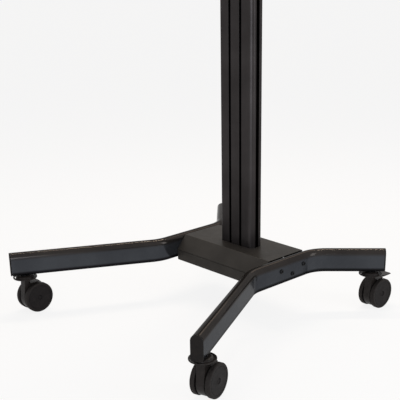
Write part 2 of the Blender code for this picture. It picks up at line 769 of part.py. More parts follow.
def make_wheel_mesh():
    """A disc wheel on Z, its outer face up, measured from the hood's middle."""
    rim = WHEEL_RADIUS
    bore = AXLE_RADIUS + GAP
    bore_end = WHEEL_OUTER - HUB_SKIN
    profile = [(0, WHEEL_OUTER - HUB_DIP), (HUB_RADIUS, WHEEL_OUTER - HUB_DIP),
               (DISC_INNER, WHEEL_OUTER - DISC_DIP), (rim - RIM_WIDTH, WHEEL_OUTER),
               (rim, WHEEL_OUTER - RIM_DROP), (rim, WHEEL_INNER + RIM_CHAMFER),
               (rim - RIM_CHAMFER, WHEEL_INNER), (bore, WHEEL_INNER), (bore, bore_end), (0, bore_end)]
    wheel = turned("wheel", profile, WHEEL_SIDES)
    wheel.data.transform(Matrix.Rotation(pi / WHEEL_SIDES, 4, "Z"))
    return finish(wheel, "wheel_tread")


def make_axle_mesh():
    half = WHEEL_OUTER - HUB_SKIN - GAP
    axle = rod(AXLE_RADIUS, -half, half, "X", sides=12)
    return finish(axle, "bare_steel")


def make_pedal_mesh():
    """The brake lever, drawn with the brake off, its pivot at the origin."""
    y, z = PEDAL_PIVOT
    front = LEDGE_REAR + MM - y
    reach = PEDAL_REACH - y
    low = PEDAL_LOW - z
    blade = [(front, low), (reach, low), (reach, PEDAL_TIP_TOP - z), (front, PEDAL_ROOT_TOP - z)]
    pedal = prism("pedal", [blade], -WHEEL_RADIUS, WHEEL_RADIUS, "X")
    plan = rounded_rectangle(PEDAL_HALF, (reach - front) / 2, PEDAL_CORNER, 3)
    middle = (reach + front) / 2
    plan = [(across, along + middle) for across, along in plan]
    boolean(pedal, prism("plan", [plan], -WHEEL_RADIUS, WHEEL_RADIUS), "INTERSECT")
    web = rectangle(-WEB_HALF, WEB_HALF, 0, low + MM)
    join(pedal, prism("web", [web], MM - PEDAL_NECK, PEDAL_NECK - MM, "X"))
    join(pedal, rod(BARREL_RADIUS, -PEDAL_NECK, PEDAL_NECK, "X", sides=12))
    join(pedal, rod(PIVOT_RADIUS, GAP - HOOD_HALF, HOOD_HALF - GAP, "X", sides=8))
    return finish(pedal, "caster_plastic")


def make_casters():
    masters = {"stem": make_stem_mesh(), "wheel": make_wheel_mesh(), "axle": make_axle_mesh(),
               "plain_hood": make_hood_mesh(False), "braked_hood": make_hood_mesh(True),
               "pedal": make_pedal_mesh()}
    for name, (side, end, trail_angle, braked) in CASTERS.items():
        spot = stem_spot(side, end)
        turn = radians(trail_angle - 90)
        place(copy_of(masters["stem"], "caster_stem_" + name), ROOT, (spot.x, spot.y, 0))
        swivel = new_empty("swivel_" + name, ROOT, (spot.x, spot.y, 0), (0, 0, turn))
        hood = masters["braked_hood" if braked else "plain_hood"]
        place(copy_of(hood, "caster_hood_" + name), swivel)
        place(copy_of(masters["axle"], "caster_axle_" + name), swivel, (0, TRAIL, AXLE_Z))
        for wheel_side, wheel_name in ((1, "right"), (-1, "left")):
            wheel = copy_of(masters["wheel"], "wheel_%s_%s" % (name, wheel_name))
            place(wheel, swivel, (0, TRAIL, AXLE_Z), (0, wheel_side * pi / 2, 0))
        if braked:
            place(copy_of(masters["pedal"], "brake_pedal_" + name), swivel, (0, *PEDAL_PIVOT))
    for master in masters.values():
        bpy.data.objects.remove(master)


# Screen mount

def column_face():
    return -COLUMN_DEPTH / 2


def carriage_front():
    return column_face() - GAP - CARRIAGE[2]


def tilt_ear(back):
    """An ear about the tilt axis, running back or forward to a plate."""
    centre = (TILT_Y, 0)
    if back > TILT_Y:
        nose = arc(centre, EAR_RADIUS, 90, 270, 8)
        return nose + [(back, -EAR_RADIUS), (back, EAR_RADIUS)]
    tail = arc(centre, EAR_RADIUS, -90, 90, 8)
    return tail + [(back, EAR_RADIUS), (back, -EAR_RADIUS)]


def add_ears(piece, inner, outer, back):
    for side in (1, -1):
        edges = sorted((side * inner, side * outer))
        join(piece, prism("ear", [tilt_ear(back)], edges[0], edges[1], "X"))
    hole = rod(TILT_PIN_RADIUS + GAP, -outer - MM, outer + MM, "X", (TILT_Y, 0), 16)
    return cut(piece, hole)


def make_carriage(mount):
    width, height, _ = CARRIAGE
    plate = rounded_rectangle(width / 2, height / 2, CARRIAGE_CORNER, 2)
    holes = [arc((x, z), BOLT_RADIUS + GAP, 0, 360, BOLT_SIDES)[:-1] for x, z in carriage_bolt_spots()]
    carriage = prism("mount_carriage", [plate] + holes, carriage_front(), column_face() - GAP, "Y")
    add_ears(carriage, CARRIAGE_EAR_X[0], CARRIAGE_EAR_X[1], carriage_front() + MM)
    return place(finish(carriage, "mount_finish"), mount)


def carriage_bolt_spots():
    return [(x, z) for z in (CARRIAGE_BOLT_Z, -CARRIAGE_BOLT_Z) for x in (SLOT_OFFSET, -SLOT_OFFSET)]


def make_slot_bars(mount):
    """The bars that ride in the column's front slots and take the carriage bolts."""
    face = column_face()
    lip = SLOT_MOUTH / 2 - GAP
    side = SLOT_CHANNEL / 2 - GAP
    neck = face + GAP
    shoulder = face + SLOT_LIP + GAP
    back = face + SLOT_LIP + SLOT_DEPTH - SLOT_BAR_CLEARANCE
    half = SLOT_BAR_LENGTH / 2
    for sign, name in ((1, "right"), (-1, "left")):
        x = sign * SLOT_OFFSET
        head = rectangle(x - side, x + side, shoulder, back)
        bar = prism("slot_bar_" + name, [head], -half, half)
        join(bar, prism("neck", [rectangle(x - lip, x + lip, neck, shoulder + MM)], -half, half))
        for z in (CARRIAGE_BOLT_Z, -CARRIAGE_BOLT_Z):
            cut(bar, rod(BOLT_RADIUS + GAP, face - MM, back + MM, "Y", (x, z), BOLT_SIDES))
        place(finish(bar, "fastener"), mount)


def make_carriage_bolts(mount):
    length = CARRIAGE[2] + SLOT_LIP + SLOT_DEPTH - SLOT_BAR_CLEARANCE
    bolt = make_bolt("bolt", length)
    names = ("upper_right", "upper_left", "lower_right", "lower_left")
    for (x, z), name in zip(carriage_bolt_spots(), names):
        piece = copy_of(bolt, "carriage_bolt_" + name)
        place(piece, mount, (x, carriage_front() - GAP, z), (pi / 2, 0, 0))
    bpy.data.objects.remove(bolt)


def knob_outline(radius, lobes):
    """A lobed grip."""
    steps = lobes * 4
    angles = [2 * pi * step / steps for step in range(steps)]
    depth = KNOB_LOBE_DEPTH
    radii = [radius * (1 - depth + depth * cos(lobes * angle)) for angle in angles]
    return [(reach * cos(angle), reach * sin(angle)) for reach, angle in zip(radii, angles)]


def make_tilt_knobs(mount):
    """Knobs on the ends of the tilt pin, drawn on X with the origin on the pin."""
    start = CARRIAGE_EAR_X[1] + GAP
    blind = TILT_PIN_HALF + GAP
    collar_radius, collar = KNOB_COLLAR
    for sign, name in ((1, "right"), (-1, "left")):
        edges = sorted((sign * (start + collar), sign * (start + collar + KNOB_WIDTH)))
        grip = prism("tilt_knob_" + name, [knob_outline(KNOB_RADIUS, KNOB_LOBES)], *edges, "X")
        soften(grip, KNOB_EDGE)
        edges = sorted((sign * start, sign * (start + collar + KNOB_EDGE + MM)))
        join(grip, rod(collar_radius, *edges, "X", sides=16))
        edges = sorted((sign * (start - MM), sign * blind))
        cut(grip, rod(TILT_PIN_RADIUS + GAP, *edges, "X", sides=16))
        place(finish(grip, "cap_plastic"), mount, (0, TILT_Y, 0))


def make_tilt_pin(mount):
    pin = rod(TILT_PIN_RADIUS, -TILT_PIN_HALF, TILT_PIN_HALF, "X", sides=16)
    pin.name = "tilt_pin"
    return place(finish(pin, "bare_steel"), mount, (0, TILT_Y, 0))


def rail_back():
    return HEAD_FRONT - GAP


def make_tilt_head(mount):
    width, height, thickness = HEAD_PLATE
    plate = rounded_rectangle(width / 2, height / 2, HEAD_CORNER, 2)
    holes = [arc((x, 0), BOLT_RADIUS + GAP, 0, 360, BOLT_SIDES)[:-1] for x in (RAIL_BOLT_X, -RAIL_BOLT_X)]
    head = prism("tilt_head", [plate] + holes, HEAD_FRONT, HEAD_FRONT + thickness, "Y")
    add_ears(head, HEAD_EAR_X[0], HEAD_EAR_X[1], HEAD_FRONT + thickness - MM)
    return place(finish(head, "mount_finish"), mount)


def make_cross_rail(mount):
    """A wide channel whose upper and lower lips carry the screen arms."""
    sheet = RAIL_SHEET
    back = rail_back()
    lip = RAIL_LIP_Y
    low = RAIL_HEIGHT
    high = RAIL_HEIGHT + RAIL_LIP_RISE
    upper = [(back, 0), (back, low), (lip + sheet, low), (lip + sheet, high), (lip, high),
             (lip, low - sheet), (back - sheet, low - sheet), (back - sheet, 0)]
    lower = [(y, -z) for y, z in reversed(upper) if z > 0]
    outline = [point for point in upper if point[1] > 0] + lower
    rail = prism("cross_rail", [outline], -RAIL_HALF, RAIL_HALF, "X")
    for x in (RAIL_BOLT_X, -RAIL_BOLT_X):
        hole = rod(BOLT_RADIUS + GAP, back - sheet - MM, back + MM, "Y", (x, 0), BOLT_SIDES)
        cut(rail, hole)
    return place(finish(rail, "mount_finish"), mount)


def make_rail_bolts(mount):
    bolt = make_bolt("bolt", RAIL_SHEET + HEAD_PLATE[2] + RAIL_BOLT_SPARE)
    for x, name in ((RAIL_BOLT_X, "right"), (-RAIL_BOLT_X, "left")):
        piece = copy_of(bolt, "rail_bolt_" + name)
        place(piece, mount, (x, rail_back() - RAIL_SHEET - GAP, 0), (pi / 2, 0, 0))
    bpy.data.objects.remove(bolt)


def arm_side_outline():
    """An arm's side plate: a long strip with a hook round each lip of the rail."""
    lip_back = RAIL_LIP_Y + RAIL_SHEET + HOOK_CLEARANCE
    lip_front = RAIL_LIP_Y - HOOK_CLEARANCE
    low = RAIL_HEIGHT + HOOK_CLEARANCE
    high = RAIL_HEIGHT + RAIL_LIP_RISE + HOOK_CLEARANCE
    under, over = HOOK_SLOPE
    upper = [(ARM_BACK, low - under), (lip_front, low), (lip_front, high), (lip_back, high), (lip_back, low),
             (HOOK_BACK, low), (HOOK_BACK, HOOK_RISE - HOOK_CHAMFER), (HOOK_BACK - HOOK_CHAMFER, HOOK_RISE),
             (ARM_BACK, HOOK_RISE + over), (ARM_BACK, ARM_HALF_LENGTH), (ARM_FRONT, ARM_HALF_LENGTH)]
    lower = [(y, -z) for y, z in reversed(upper)]
    return lower + upper


def long_slot(centre_z):
    """An upright slot with round ends, drawn in X and Z."""
    straight = ARM_SLOT_HALF - ARM_SLOT_RADIUS
    return (arc((0, centre_z + straight), ARM_SLOT_RADIUS, 0, 180, 3)
            + arc((0, centre_z - straight), ARM_SLOT_RADIUS, 180, 360, 3))


def make_arm(name, mount, x):
    """A folded arm with slots for the screen's bolts, drawn about its middle."""
    half = ARM_HALF_WIDTH
    face = rectangle(-half, half, -ARM_HALF_LENGTH, ARM_HALF_LENGTH)
    slots = [long_slot(sign * z) for z in ARM_SLOTS for sign in (1, -1)]
    arm = prism(name, [face] + slots, ARM_FRONT, ARM_FRONT + ARM_SHEET, "Y")
    for side in (1, -1):
        edges = sorted((side * half, side * (half - ARM_SHEET)))
        join(arm, prism("side", [arm_side_outline()], edges[0], edges[1], "X"))
    shelf = rectangle(MM - half, half - MM, ARM_FRONT + MM, HOOK_BACK - MM)
    join(arm, prism("shelf", [shelf], -HOOK_RISE + MM, -HOOK_RISE + MM + ARM_SHEET))
    hole = rod(LOCK_RADIUS + GAP, -HOOK_RISE - CUTTER_REACH, -HOOK_RISE + CUTTER_REACH,
               centre=(0, lock_y()), sides=12)
    cut(arm, hole)
    return place(finish(arm, "mount_finish"), mount, (x, 0, 0))


def lock_y():
    return RAIL_LIP_Y + RAIL_SHEET / 2


def make_arm_lock(name, mount, x):
    """The thumbscrew under an arm that presses on the rail's lower lip."""
    tip = -(RAIL_HEIGHT + RAIL_LIP_RISE) - GAP
    shoulder = -HOOK_RISE - GAP
    grip, height = LOCK_GRIP
    edge = LOCK_GRIP_EDGE
    profile = [(0, tip), (LOCK_RADIUS, tip), (LOCK_RADIUS, shoulder), (grip - edge, shoulder),
               (grip, shoulder - edge), (grip, shoulder - height + edge),
               (grip - edge, shoulder - height), (0, shoulder - height)]
    lock = turned(name, profile, 16)
    return place(finish(lock, "cap_plastic"), mount, (x, lock_y(), 0))


def make_mount():
    mount = new_empty("mount", ROOT, (0, 0, MOUNT_Z))
    make_carriage(mount)
    make_slot_bars(mount)
    make_carriage_bolts(mount)
    make_tilt_pin(mount)
    make_tilt_knobs(mount)
    make_tilt_head(mount)
    make_cross_rail(mount)
    make_rail_bolts(mount)
    for sign, name in ((1, "right"), (-1, "left")):
        make_arm("tv_arm_" + name, mount, sign * ARM_X)
        make_arm_lock("arm_lock_" + name, mount, sign * ARM_X)


clear_scene()
PARTS = new_collection(NAME)
MATERIALS = make_materials()
ROOT = new_empty("cart", None, (0, COLUMN_Y, 0))
make_legs()
make_base_cover()
make_base_chassis()
make_column_foot()
make_column()
make_column_cap()
make_casters()
make_mount()
bpy.context.view_layer.update()
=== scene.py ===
"""The looks of a mobile stand for a large screen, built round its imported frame.

Metres, +Z up, front towards -Y.  Each fine piece keeps the size and place of
the frame's node that it stands for.
"""
import json
from math import acos, atan2, cos, degrees, pi, radians, sin, tan

import bmesh
import bpy
from mathutils import Matrix, Vector


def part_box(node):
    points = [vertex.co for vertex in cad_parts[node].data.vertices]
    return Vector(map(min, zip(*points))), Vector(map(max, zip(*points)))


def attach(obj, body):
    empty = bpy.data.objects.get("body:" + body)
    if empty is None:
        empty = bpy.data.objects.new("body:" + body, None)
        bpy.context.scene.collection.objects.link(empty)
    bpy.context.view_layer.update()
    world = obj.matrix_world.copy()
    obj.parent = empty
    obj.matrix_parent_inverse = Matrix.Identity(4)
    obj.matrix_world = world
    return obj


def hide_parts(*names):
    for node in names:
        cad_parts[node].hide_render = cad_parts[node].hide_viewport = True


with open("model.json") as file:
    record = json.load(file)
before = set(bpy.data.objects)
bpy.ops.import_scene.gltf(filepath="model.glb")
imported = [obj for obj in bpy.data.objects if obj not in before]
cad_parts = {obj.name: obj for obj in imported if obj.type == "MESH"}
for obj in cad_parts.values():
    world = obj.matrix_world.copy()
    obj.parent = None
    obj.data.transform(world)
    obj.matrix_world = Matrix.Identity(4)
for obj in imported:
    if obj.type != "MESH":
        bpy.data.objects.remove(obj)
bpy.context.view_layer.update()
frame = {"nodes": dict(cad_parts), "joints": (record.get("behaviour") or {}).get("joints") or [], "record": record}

MM = 0.001
GAP = 0.3 * MM                      # clearance between touching pieces
OVERLAP = 1 * MM                    # how far joined forms, and short cutters, reach past a face
CUTTER_REACH = 10 * MM              # how far a cutter runs past the wall that it cuts
MERGE_DISTANCE = 0.002 * MM
SEAM_DISTANCE = 0.005 * MM
FLAT_ANGLE = 0.5                    # degrees under which neighbouring faces become one
TURNED_STEPS = 64

# Camera, worked out from the photograph.
CAMERA_AZIMUTH = 45.71
CAMERA_ELEVATION = 20.51
CAMERA_ROLL = -0.31
CAMERA_DISTANCE = 2.9121
CAMERA_TARGET = Vector((0.0, 0.0885, 0.110))
FOCAL_PIXELS = 869.43
PICTURE = 400
PICTURE_CENTRE = (229.24, 273.49)
SENSOR = 36.0

# Sizes.  The main ones are the frame's, with the fine forms' own among them.
COLUMN_Y = 145 * MM
LEG_WIDTH = 36 * MM
LEG_HEIGHT = 75.5 * MM
LEG_BOTTOM = 133.7 * MM
LEG_CORNER = 7 * MM
LEG_CORNER_STEPS = 8
LEG_ARCH_STEPS = 48
LEG_MIDDLE_X = 215 * MM
FRONT_BEND_Y = -175 * MM
REAR_BEND_Y = 114.5 * MM
FRONT_TIP = (450.4 * MM, -614.4 * MM)
REAR_TIP = (385.3 * MM, 282.5 * MM)
BEND_RADIUS = 110 * MM
BEND_STEPS = 24
CAP_THICKNESS = 4 * MM
CAP_EDGE = 1.3 * MM
BOLT_RADIUS = 4 * MM
BOLT_HEAD_RADIUS = 7.5 * MM
BOLT_HEAD_HEIGHT = 4.4 * MM
BOLT_FLAT = 3.4 * MM                # radius of the flat on top of the head
BOLT_DOME = 4 * MM                  # radius of the rounding beside it
BOLT_DOME_END = 8                   # degrees over the level where the rounding ends
BOLT_RIM = ((0.1 * MM, 0.3 * MM), (0.2 * MM, 0))    # in from the head's radius, over its seat
BOLT_SOCKET_RADIUS = 2.8 * MM
BOLT_SOCKET_DEPTH = 2.5 * MM
BOLT_STEPS = 40
BASE_HALF = LEG_MIDDLE_X - LEG_WIDTH / 2 - GAP
BASE_TOP = 207.3 * MM
BASE_LEDGE = 163 * MM
BASE_BOTTOM = 123.6 * MM
BASE_TOP_FRONT = -74.7 * MM
BASE_FRONT = -113.1 * MM
BASE_REAR = 85.9 * MM
COVER_SHEET = 2 * MM
COVER_FOLD = 3 * MM
COVER_EDGE = 0.5 * MM
CHASSIS_SHEET = 3 * MM
CHASSIS_FOLD = 6 * MM
CHASSIS_EDGE = 0.6 * MM
FASCIA_STEP = 1.2 * MM
COLUMN_WIDTH = 145 * MM
COLUMN_DEPTH = 55 * MM
COLUMN_CORNER = 16 * MM
COLUMN_WALL = 3 * MM
COLUMN_EDGE = 0.6 * MM
SLOT_OFFSET = 23.2 * MM
SLOT_MOUTH = 9.6 * MM
SIDE_SLOT_MOUTH = 14 * MM
SLOT_LIP = 2.5 * MM
SLOT_CHANNEL = 18 * MM
SLOT_DEPTH = 8 * MM
SLOT_WALL = 2 * MM
SLOT_PAINTED_SHADE_DEPTH = 1 * MM           # the slots' painted shade starts this deep
TOP_CAP = 5 * MM
TOP_CAP_EDGE = 1.6 * MM

# Casters.  The frame's wheel stands on one of its flats, the fine one is round.
TRAIL = 30.4 * MM
FRAME_WHEEL_RADIUS = 50.8 * MM
FRAME_WHEEL_SIDES = 24
AXLE_Z = FRAME_WHEEL_RADIUS * cos(pi / FRAME_WHEEL_SIDES)
WHEEL_RADIUS = AXLE_Z
WHEEL_INNER = 16.8 * MM
WHEEL_OUTER = 31.5 * MM
WHEEL_STEPS = 96
WHEEL_BORE = (6 * MM, 5 * MM)       # radius, and length from the wheel's inner face
HUB_RADIUS = 7.5 * MM
HUB_DIP = 1.6 * MM
HUB_STEP = (0.6 * MM, 1 * MM)       # depth of its middle under the wheel's face, and radius
HUB_LIP = (9.4 * MM, 0.6 * MM, 0.9 * MM)        # distance from the axle, depth and radius
DISC_LINE = ((12 * MM, 0.1 * MM), (24 * MM, 1 * MM), (38.5 * MM, 0.5 * MM))     # distance and depth
DISC_GROOVE = (40.2 * MM, 0.5 * MM, 0.7 * MM)   # distance from the axle, depth and radius
RIM_CREST = (6.5 * MM, 0.9 * MM)    # in from the tread, and radius
RIM_ROUND = 3 * MM
TREAD_END = 2.5 * MM                # from the wheel's inner face
TREAD_ROUND = 2.3 * MM
DISC_INSET = 5 * MM                 # from the tread in to where the disc's plastic starts
HOOD_HALF = 13.2 * MM
HOOD_RADIUS = 47.3 * MM
HOOD_EDGE = 1.8 * MM
FIN_STEP = 2 * MM                   # from the fin's rear edge to the ledge's
NECK_HALF = 9.5 * MM
NECK_TOP = 117 * MM
NECK_OVERLAP = 6 * MM               # how deep the dome reaches into the neck
DOME_RADIUS = 30.5 * MM
DOME_TOP = 130 * MM
DOME_ROUND = 9 * MM
DOME_SKIRT = (3 * MM, 2 * MM)       # its rounding's middle over the neck's top, and its radius
RING_RADIUS = 38.7 * MM
RING_INNER = 33.5 * MM
RING_TOP = 125.6 * MM
RING_THICKNESS = 4.6 * MM
RING_FLOOR = 2.4 * MM
RING_EDGE = 1.2 * MM
RING_STEPS = 80
RING_WINDOWS = ((218, 262), (278, 322))     # degrees from the axle, ahead of the stem
LEDGE = (48 * MM, 2.8 * MM)         # width and thickness of the shelf over the wheels
LEDGE_TOP = 106 * MM
LEDGE_FRONT = 6 * MM
LEDGE_REAR = 40 * MM
LEDGE_CORNER = 3 * MM
LEDGE_EDGE = 0.7 * MM
STEM_COLLAR = 15 * MM
STEM_EDGE = 0.6 * MM
STEM_PIN = 6 * MM
STEM_PIN_LENGTH = 20 * MM
STEM_THREAD = 5 * MM
STEM_TOP = 158 * MM
PEDAL_PIVOT = (44.5 * MM, 101.5 * MM)       # behind the stem, above the floor
PEDAL_HALF = 24 * MM
PEDAL_NECK = 9 * MM
PEDAL_LOW = 105.8 * MM
PEDAL_TIP_TOP = 109.2 * MM
PEDAL_ROOT_TOP = 109.8 * MM
PEDAL_REACH = 80.8 * MM
PEDAL_CLEARANCE = 1 * MM            # behind the ledge
PEDAL_CORNER = 2.5 * MM
PEDAL_EDGE = 0.8 * MM
PIVOT_RADIUS = 2 * MM
BARREL_RADIUS = 3.2 * MM
WEB_HALF = 2.9 * MM
WEB_INSET = 1 * MM
EAR_INNER = 9.5 * MM
EAR_OUTER = 12.7 * MM
EAR_DROP = 8 * MM
EAR_ROOT = 4 * MM
CORNERS = ("front_right", "front_left", "rear_right", "rear_left")
BRAKED = ("rear_right", "rear_left")

# Screen mount
TILT_Y = -72 * MM
MOUNT_Z = 1400 * MM
KNOB_RADIUS = 17 * MM
KNOB_LOBES = 6
KNOB_LOBE_STEPS = 20
KNOB_MEAN = 0.93                    # of the radius, and how far the lobes go either way from it
KNOB_WAVE = 0.07
KNOB_WIDTH = 15 * MM
KNOB_EDGE = 2.2 * MM
KNOB_COLLAR_RADIUS = 10 * MM
KNOB_COLLAR_END = 12 * MM           # in from the knob's outer face
MOUNT_EDGES = {
    "mount_carriage": 0.8 * MM,
    "tilt_head": 0.8 * MM,
    "cross_rail": 0.7 * MM,
    "tv_arm_right": 0.5 * MM,
    "tv_arm_left": 0.5 * MM,
    "arm_lock_right": 0.6 * MM,
    "arm_lock_left": 0.6 * MM,
    "slot_bar_right": 0.3 * MM,
    "slot_bar_left": 0.3 * MM,
    "tilt_pin": 0.5 * MM,
}

# Painted shade on the legs, by height on the tube: a dark painted shade along the foot, none over the faces, and a
# darker, warmer painted shade over the arch in place of its dark reflection.
LEG_FOOT_PAINTED_SHADE = (0.20, 0.18, 0.18)
LEG_FACE_SHADE = (1.0, 1.0, 1.0)
LEG_ARCH_PAINTED_SHADE = (0.70, 0.58, 0.48)
LEG_PAINTED_SHADE_BANDS = ((0.12, LEG_FOOT_PAINTED_SHADE), (0.2, LEG_FACE_SHADE), (0.7, LEG_FACE_SHADE), (0.82, LEG_ARCH_PAINTED_SHADE))
CLOUD_BAND = (0.35, 0.65)           # where the noise turns from the dark colour to the light one
GRIT_SHARE = 0.35                   # depth of the paint's grit, as a share of its orange peel

# Room: a pale floor and a white backdrop that the camera and the reflections see.
FLOOR_HALF = 40.0
FLOOR_COLOR = (0.86, 0.86, 0.86)
FLOOR_ROUGHNESS = 0.9
FLOOR_SHINE = 0.1
FLOOR_GLOW = 0.85
WORLD_COLOR = (1.0, 0.95, 0.93)
WORLD_STRENGTH = 0.45
WHITE = (1, 1, 1)
LAMP_TARGET = Vector((0, 0, 0.4))

# Lamps: azimuth and elevation in degrees, distance and size in metres, watts, colour.
LAMPS = {
    "front": (40, 6, 3.1, (1.6, 1.3), 37, (0.86, 0.92, 1.0)),
    "strip": (112, 14, 2.7, (0.8, 1.8), 16, (0.92, 0.96, 1.0)),
    "overhead": (228, 66, 2.3, (2.2, 0.06), 34, (1.0, 0.86, 0.70)),
    "rear": (196, 38, 2.6, (0.5, 0.9), 4, (1.0, 0.82, 0.66)),
}


# Shape helpers

def link(piece):
    bpy.context.scene.collection.objects.link(piece)
    return piece


def new_object(name, mesh):
    return link(bpy.data.objects.new(name, mesh))


def evaluated_mesh(piece):
    bpy.context.view_layer.update()
    graph = bpy.context.evaluated_depsgraph_get()
    return bpy.data.meshes.new_from_object(piece.evaluated_get(graph))


def bake(piece):
    mesh = evaluated_mesh(piece)
    piece.modifiers.clear()
    piece.data = mesh
    return piece


def arc(centre, radius, start, end, steps):
    angles = [radians(start + (end - start) * step / steps) for step in range(steps + 1)]
    return [(centre[0] + radius * cos(angle), centre[1] + radius * sin(angle)) for angle in angles]


def circle(centre, radius, steps):
    return arc(centre, radius, 0, 360, steps)[:-1]


def rectangle(left, right, low, high):
    return [(left, low), (right, low), (right, high), (left, high)]


def rounded_rectangle(half_width, half_height, radius, steps=12):
    x = half_width - radius
    y = half_height - radius
    return (arc((x, -y), radius, -90, 0, steps) + arc((x, y), radius, 0, 90, steps)
            + arc((-x, y), radius, 90, 180, steps) + arc((-x, -y), radius, 180, 270, steps))


def filleted(points, radius, steps):
    """A route through the points with its corners rounded."""
    route = [Vector(points[0])]
    for before, corner, after in zip(points, points[1:], points[2:]):
        corner = Vector(corner)
        back = (Vector(before) - corner).normalized()
        ahead = (Vector(after) - corner).normalized()
        half = back.angle(ahead) / 2
        centre = corner + (back + ahead).normalized() * radius / sin(half)
        first = corner + back * radius / tan(half) - centre
        last = corner + ahead * radius / tan(half) - centre
        turn = first.angle_signed(last)
        start = atan2(first.y, first.x)
        for step in range(steps + 1):
            angle = start - turn * step / steps
            route.append(centre + Vector((cos(angle), sin(angle))) * radius)
    route.append(Vector(points[-1]))
    return route


FACING = {
    "X": Matrix(((0, 0, 1, 0), (1, 0, 0, 0), (0, 1, 0, 0), (0, 0, 0, 1))),
    "Y": Matrix(((1, 0, 0, 0), (0, 0, -1, 0), (0, 1, 0, 0), (0, 0, 0, 1))),
    "Z": Matrix.Identity(4),
}


def clean(mesh):
    work = bmesh.new()
    work.from_mesh(mesh)
    bmesh.ops.remove_doubles(work, verts=work.verts, dist=MERGE_DISTANCE)
    bmesh.ops.dissolve_limit(work, angle_limit=radians(FLAT_ANGLE), verts=work.verts, edges=work.edges)
    bmesh.ops.recalc_face_normals(work, faces=work.faces)
    work.to_mesh(mesh)
    work.free()


def prism(name, outlines, low, high, axis="Z"):
    """Extrude flat outlines along an axis.  Outlines inside the first are holes."""
    curve = bpy.data.curves.new(name, "CURVE")
    curve.dimensions = "2D"
    curve.fill_mode = "BOTH"
    curve.extrude = (high - low) / 2
    for outline in outlines:
        spline = curve.splines.new("POLY")
        spline.points.add(len(outline) - 1)
        spline.use_cyclic_u = True
        for point, (across, along) in zip(spline.points, outline):
            point.co = (across, along, 0, 1)
    drawing = new_object(name, curve)
    mesh = evaluated_mesh(drawing)
    bpy.data.objects.remove(drawing)
    middle = (low + high) / 2
    mesh.transform(FACING[axis] @ Matrix.Translation((0, 0, -middle if axis == "Y" else middle)))
    clean(mesh)
    return new_object(name, mesh)


def turned(name, profile, steps=TURNED_STEPS):
    """Turn a profile of (radius, height), from top to bottom, about Z."""
    mesh = bpy.data.meshes.new(name)
    mesh.from_pydata([(radius, 0, height) for radius, height in profile],
                     [(i, i + 1) for i in range(len(profile) - 1)], [])
    piece = new_object(name, mesh)
    screw = piece.modifiers.new("Screw", "SCREW")
    screw.steps = steps
    screw.render_steps = steps
    screw.use_merge_vertices = True
    screw.merge_threshold = SEAM_DISTANCE
    return bake(piece)


def soften(piece, width, segments=3, angle=35):
    """Round every edge sharper than the angle."""
    bevel = piece.modifiers.new("Bevel", "BEVEL")
    bevel.width = width
    bevel.segments = segments
    bevel.limit_method = "ANGLE"
    bevel.angle_limit = radians(angle)
    bevel.harden_normals = True
    bevel.use_clamp_overlap = True
    return bake(piece)


def boolean(target, tool, operation, solver="EXACT"):
    """Join a tool to a target or cut it out of it, and take the tool away."""
    change = target.modifiers.new(operation.title(), "BOOLEAN")
    change.operation = operation
    change.object = tool
    change.solver = solver
    bake(target)
    bpy.data.objects.remove(tool)
    return target


def smooth(piece, angle=32):
    """Shade the round stretches smooth and keep the flat faces flat."""
    piece.data.shade_smooth()
    piece.data.set_sharp_from_angle(angle=radians(angle))
    weighted = piece.modifiers.new("WeightedNormal", "WEIGHTED_NORMAL")
    weighted.keep_sharp = True
    weighted.weight = 100
    return bake(piece)


def folded_sheet(name, points, thickness, half_width, radius):
    """A strip of sheet folded along X, its outer face on the (Y, Z) points."""
    route = filleted(points, radius, 8)
    work = bmesh.new()
    verts = [work.verts.new((-half_width, y, z)) for y, z in route]
    edges = [work.edges.new(pair) for pair in zip(verts, verts[1:])]
    grown = bmesh.ops.extrude_edge_only(work, edges=edges)["geom"]
    moved = [item for item in grown if isinstance(item, bmesh.types.BMVert)]
    bmesh.ops.translate(work, verts=moved, vec=(2 * half_width, 0, 0))
    bmesh.ops.recalc_face_normals(work, faces=work.faces)
    foremost = min(work.faces, key=lambda face: face.calc_center_median().y)
    if foremost.normal.y > 0:
        bmesh.ops.reverse_faces(work, faces=work.faces)
    mesh = bpy.data.meshes.new(name)
    work.to_mesh(mesh)
    work.free()
    sheet = new_object(name, mesh)
    shell = sheet.modifiers.new("Solidify", "SOLIDIFY")
    shell.thickness = thickness
    shell.use_even_offset = True
    shell.offset = -1
    return bake(sheet)


BODY_OF = {node: body for body, members in frame["record"]["behaviour"]["bodies"].items() for node in members}
SLOT_OF = {row["node"]: row["material_slot"] for row in frame["record"]["subparts"]}
JOINTS = {joint["name"]: joint for joint in frame["joints"]}


def dress(piece, node, materials, matrix=None):
    """Put a fine piece where its node is, in its materials, riding on its body."""
    piece.name = node + "_fine"
    if matrix is not None:
        piece.data.transform(matrix)
    numbers = [face.material_index for face in piece.data.polygons]
    piece.data.materials.clear()
    for material in materials:
        piece.data.materials.append(material)
    if len(materials) > 1:
        piece.data.polygons.foreach_set("material_index", numbers)
    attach(piece, BODY_OF[node])
    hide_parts(node)
    return piece


def copy_of(piece):
    return new_object(piece.name, piece.data.copy())


# Materials

def new_material(name, color, roughness, metallic=0.0):
    material = bpy.data.materials.new(name)
    material.use_nodes = True
    shader = material.node_tree.nodes["Principled BSDF"]
    shader.inputs["Base Color"].default_value = (*color, 1)
    shader.inputs["Roughness"].default_value = roughness
    shader.inputs["Metallic"].default_value = metallic
    return material, shader


def add_node(material, kind, **values):
    node = material.node_tree.nodes.new(kind)
    for key, value in values.items():
        if key in node.inputs:
            node.inputs[key].default_value = value
        else:
            setattr(node, key, value)
    return node


def wire(material, source, target):
    material.node_tree.links.new(source, target)


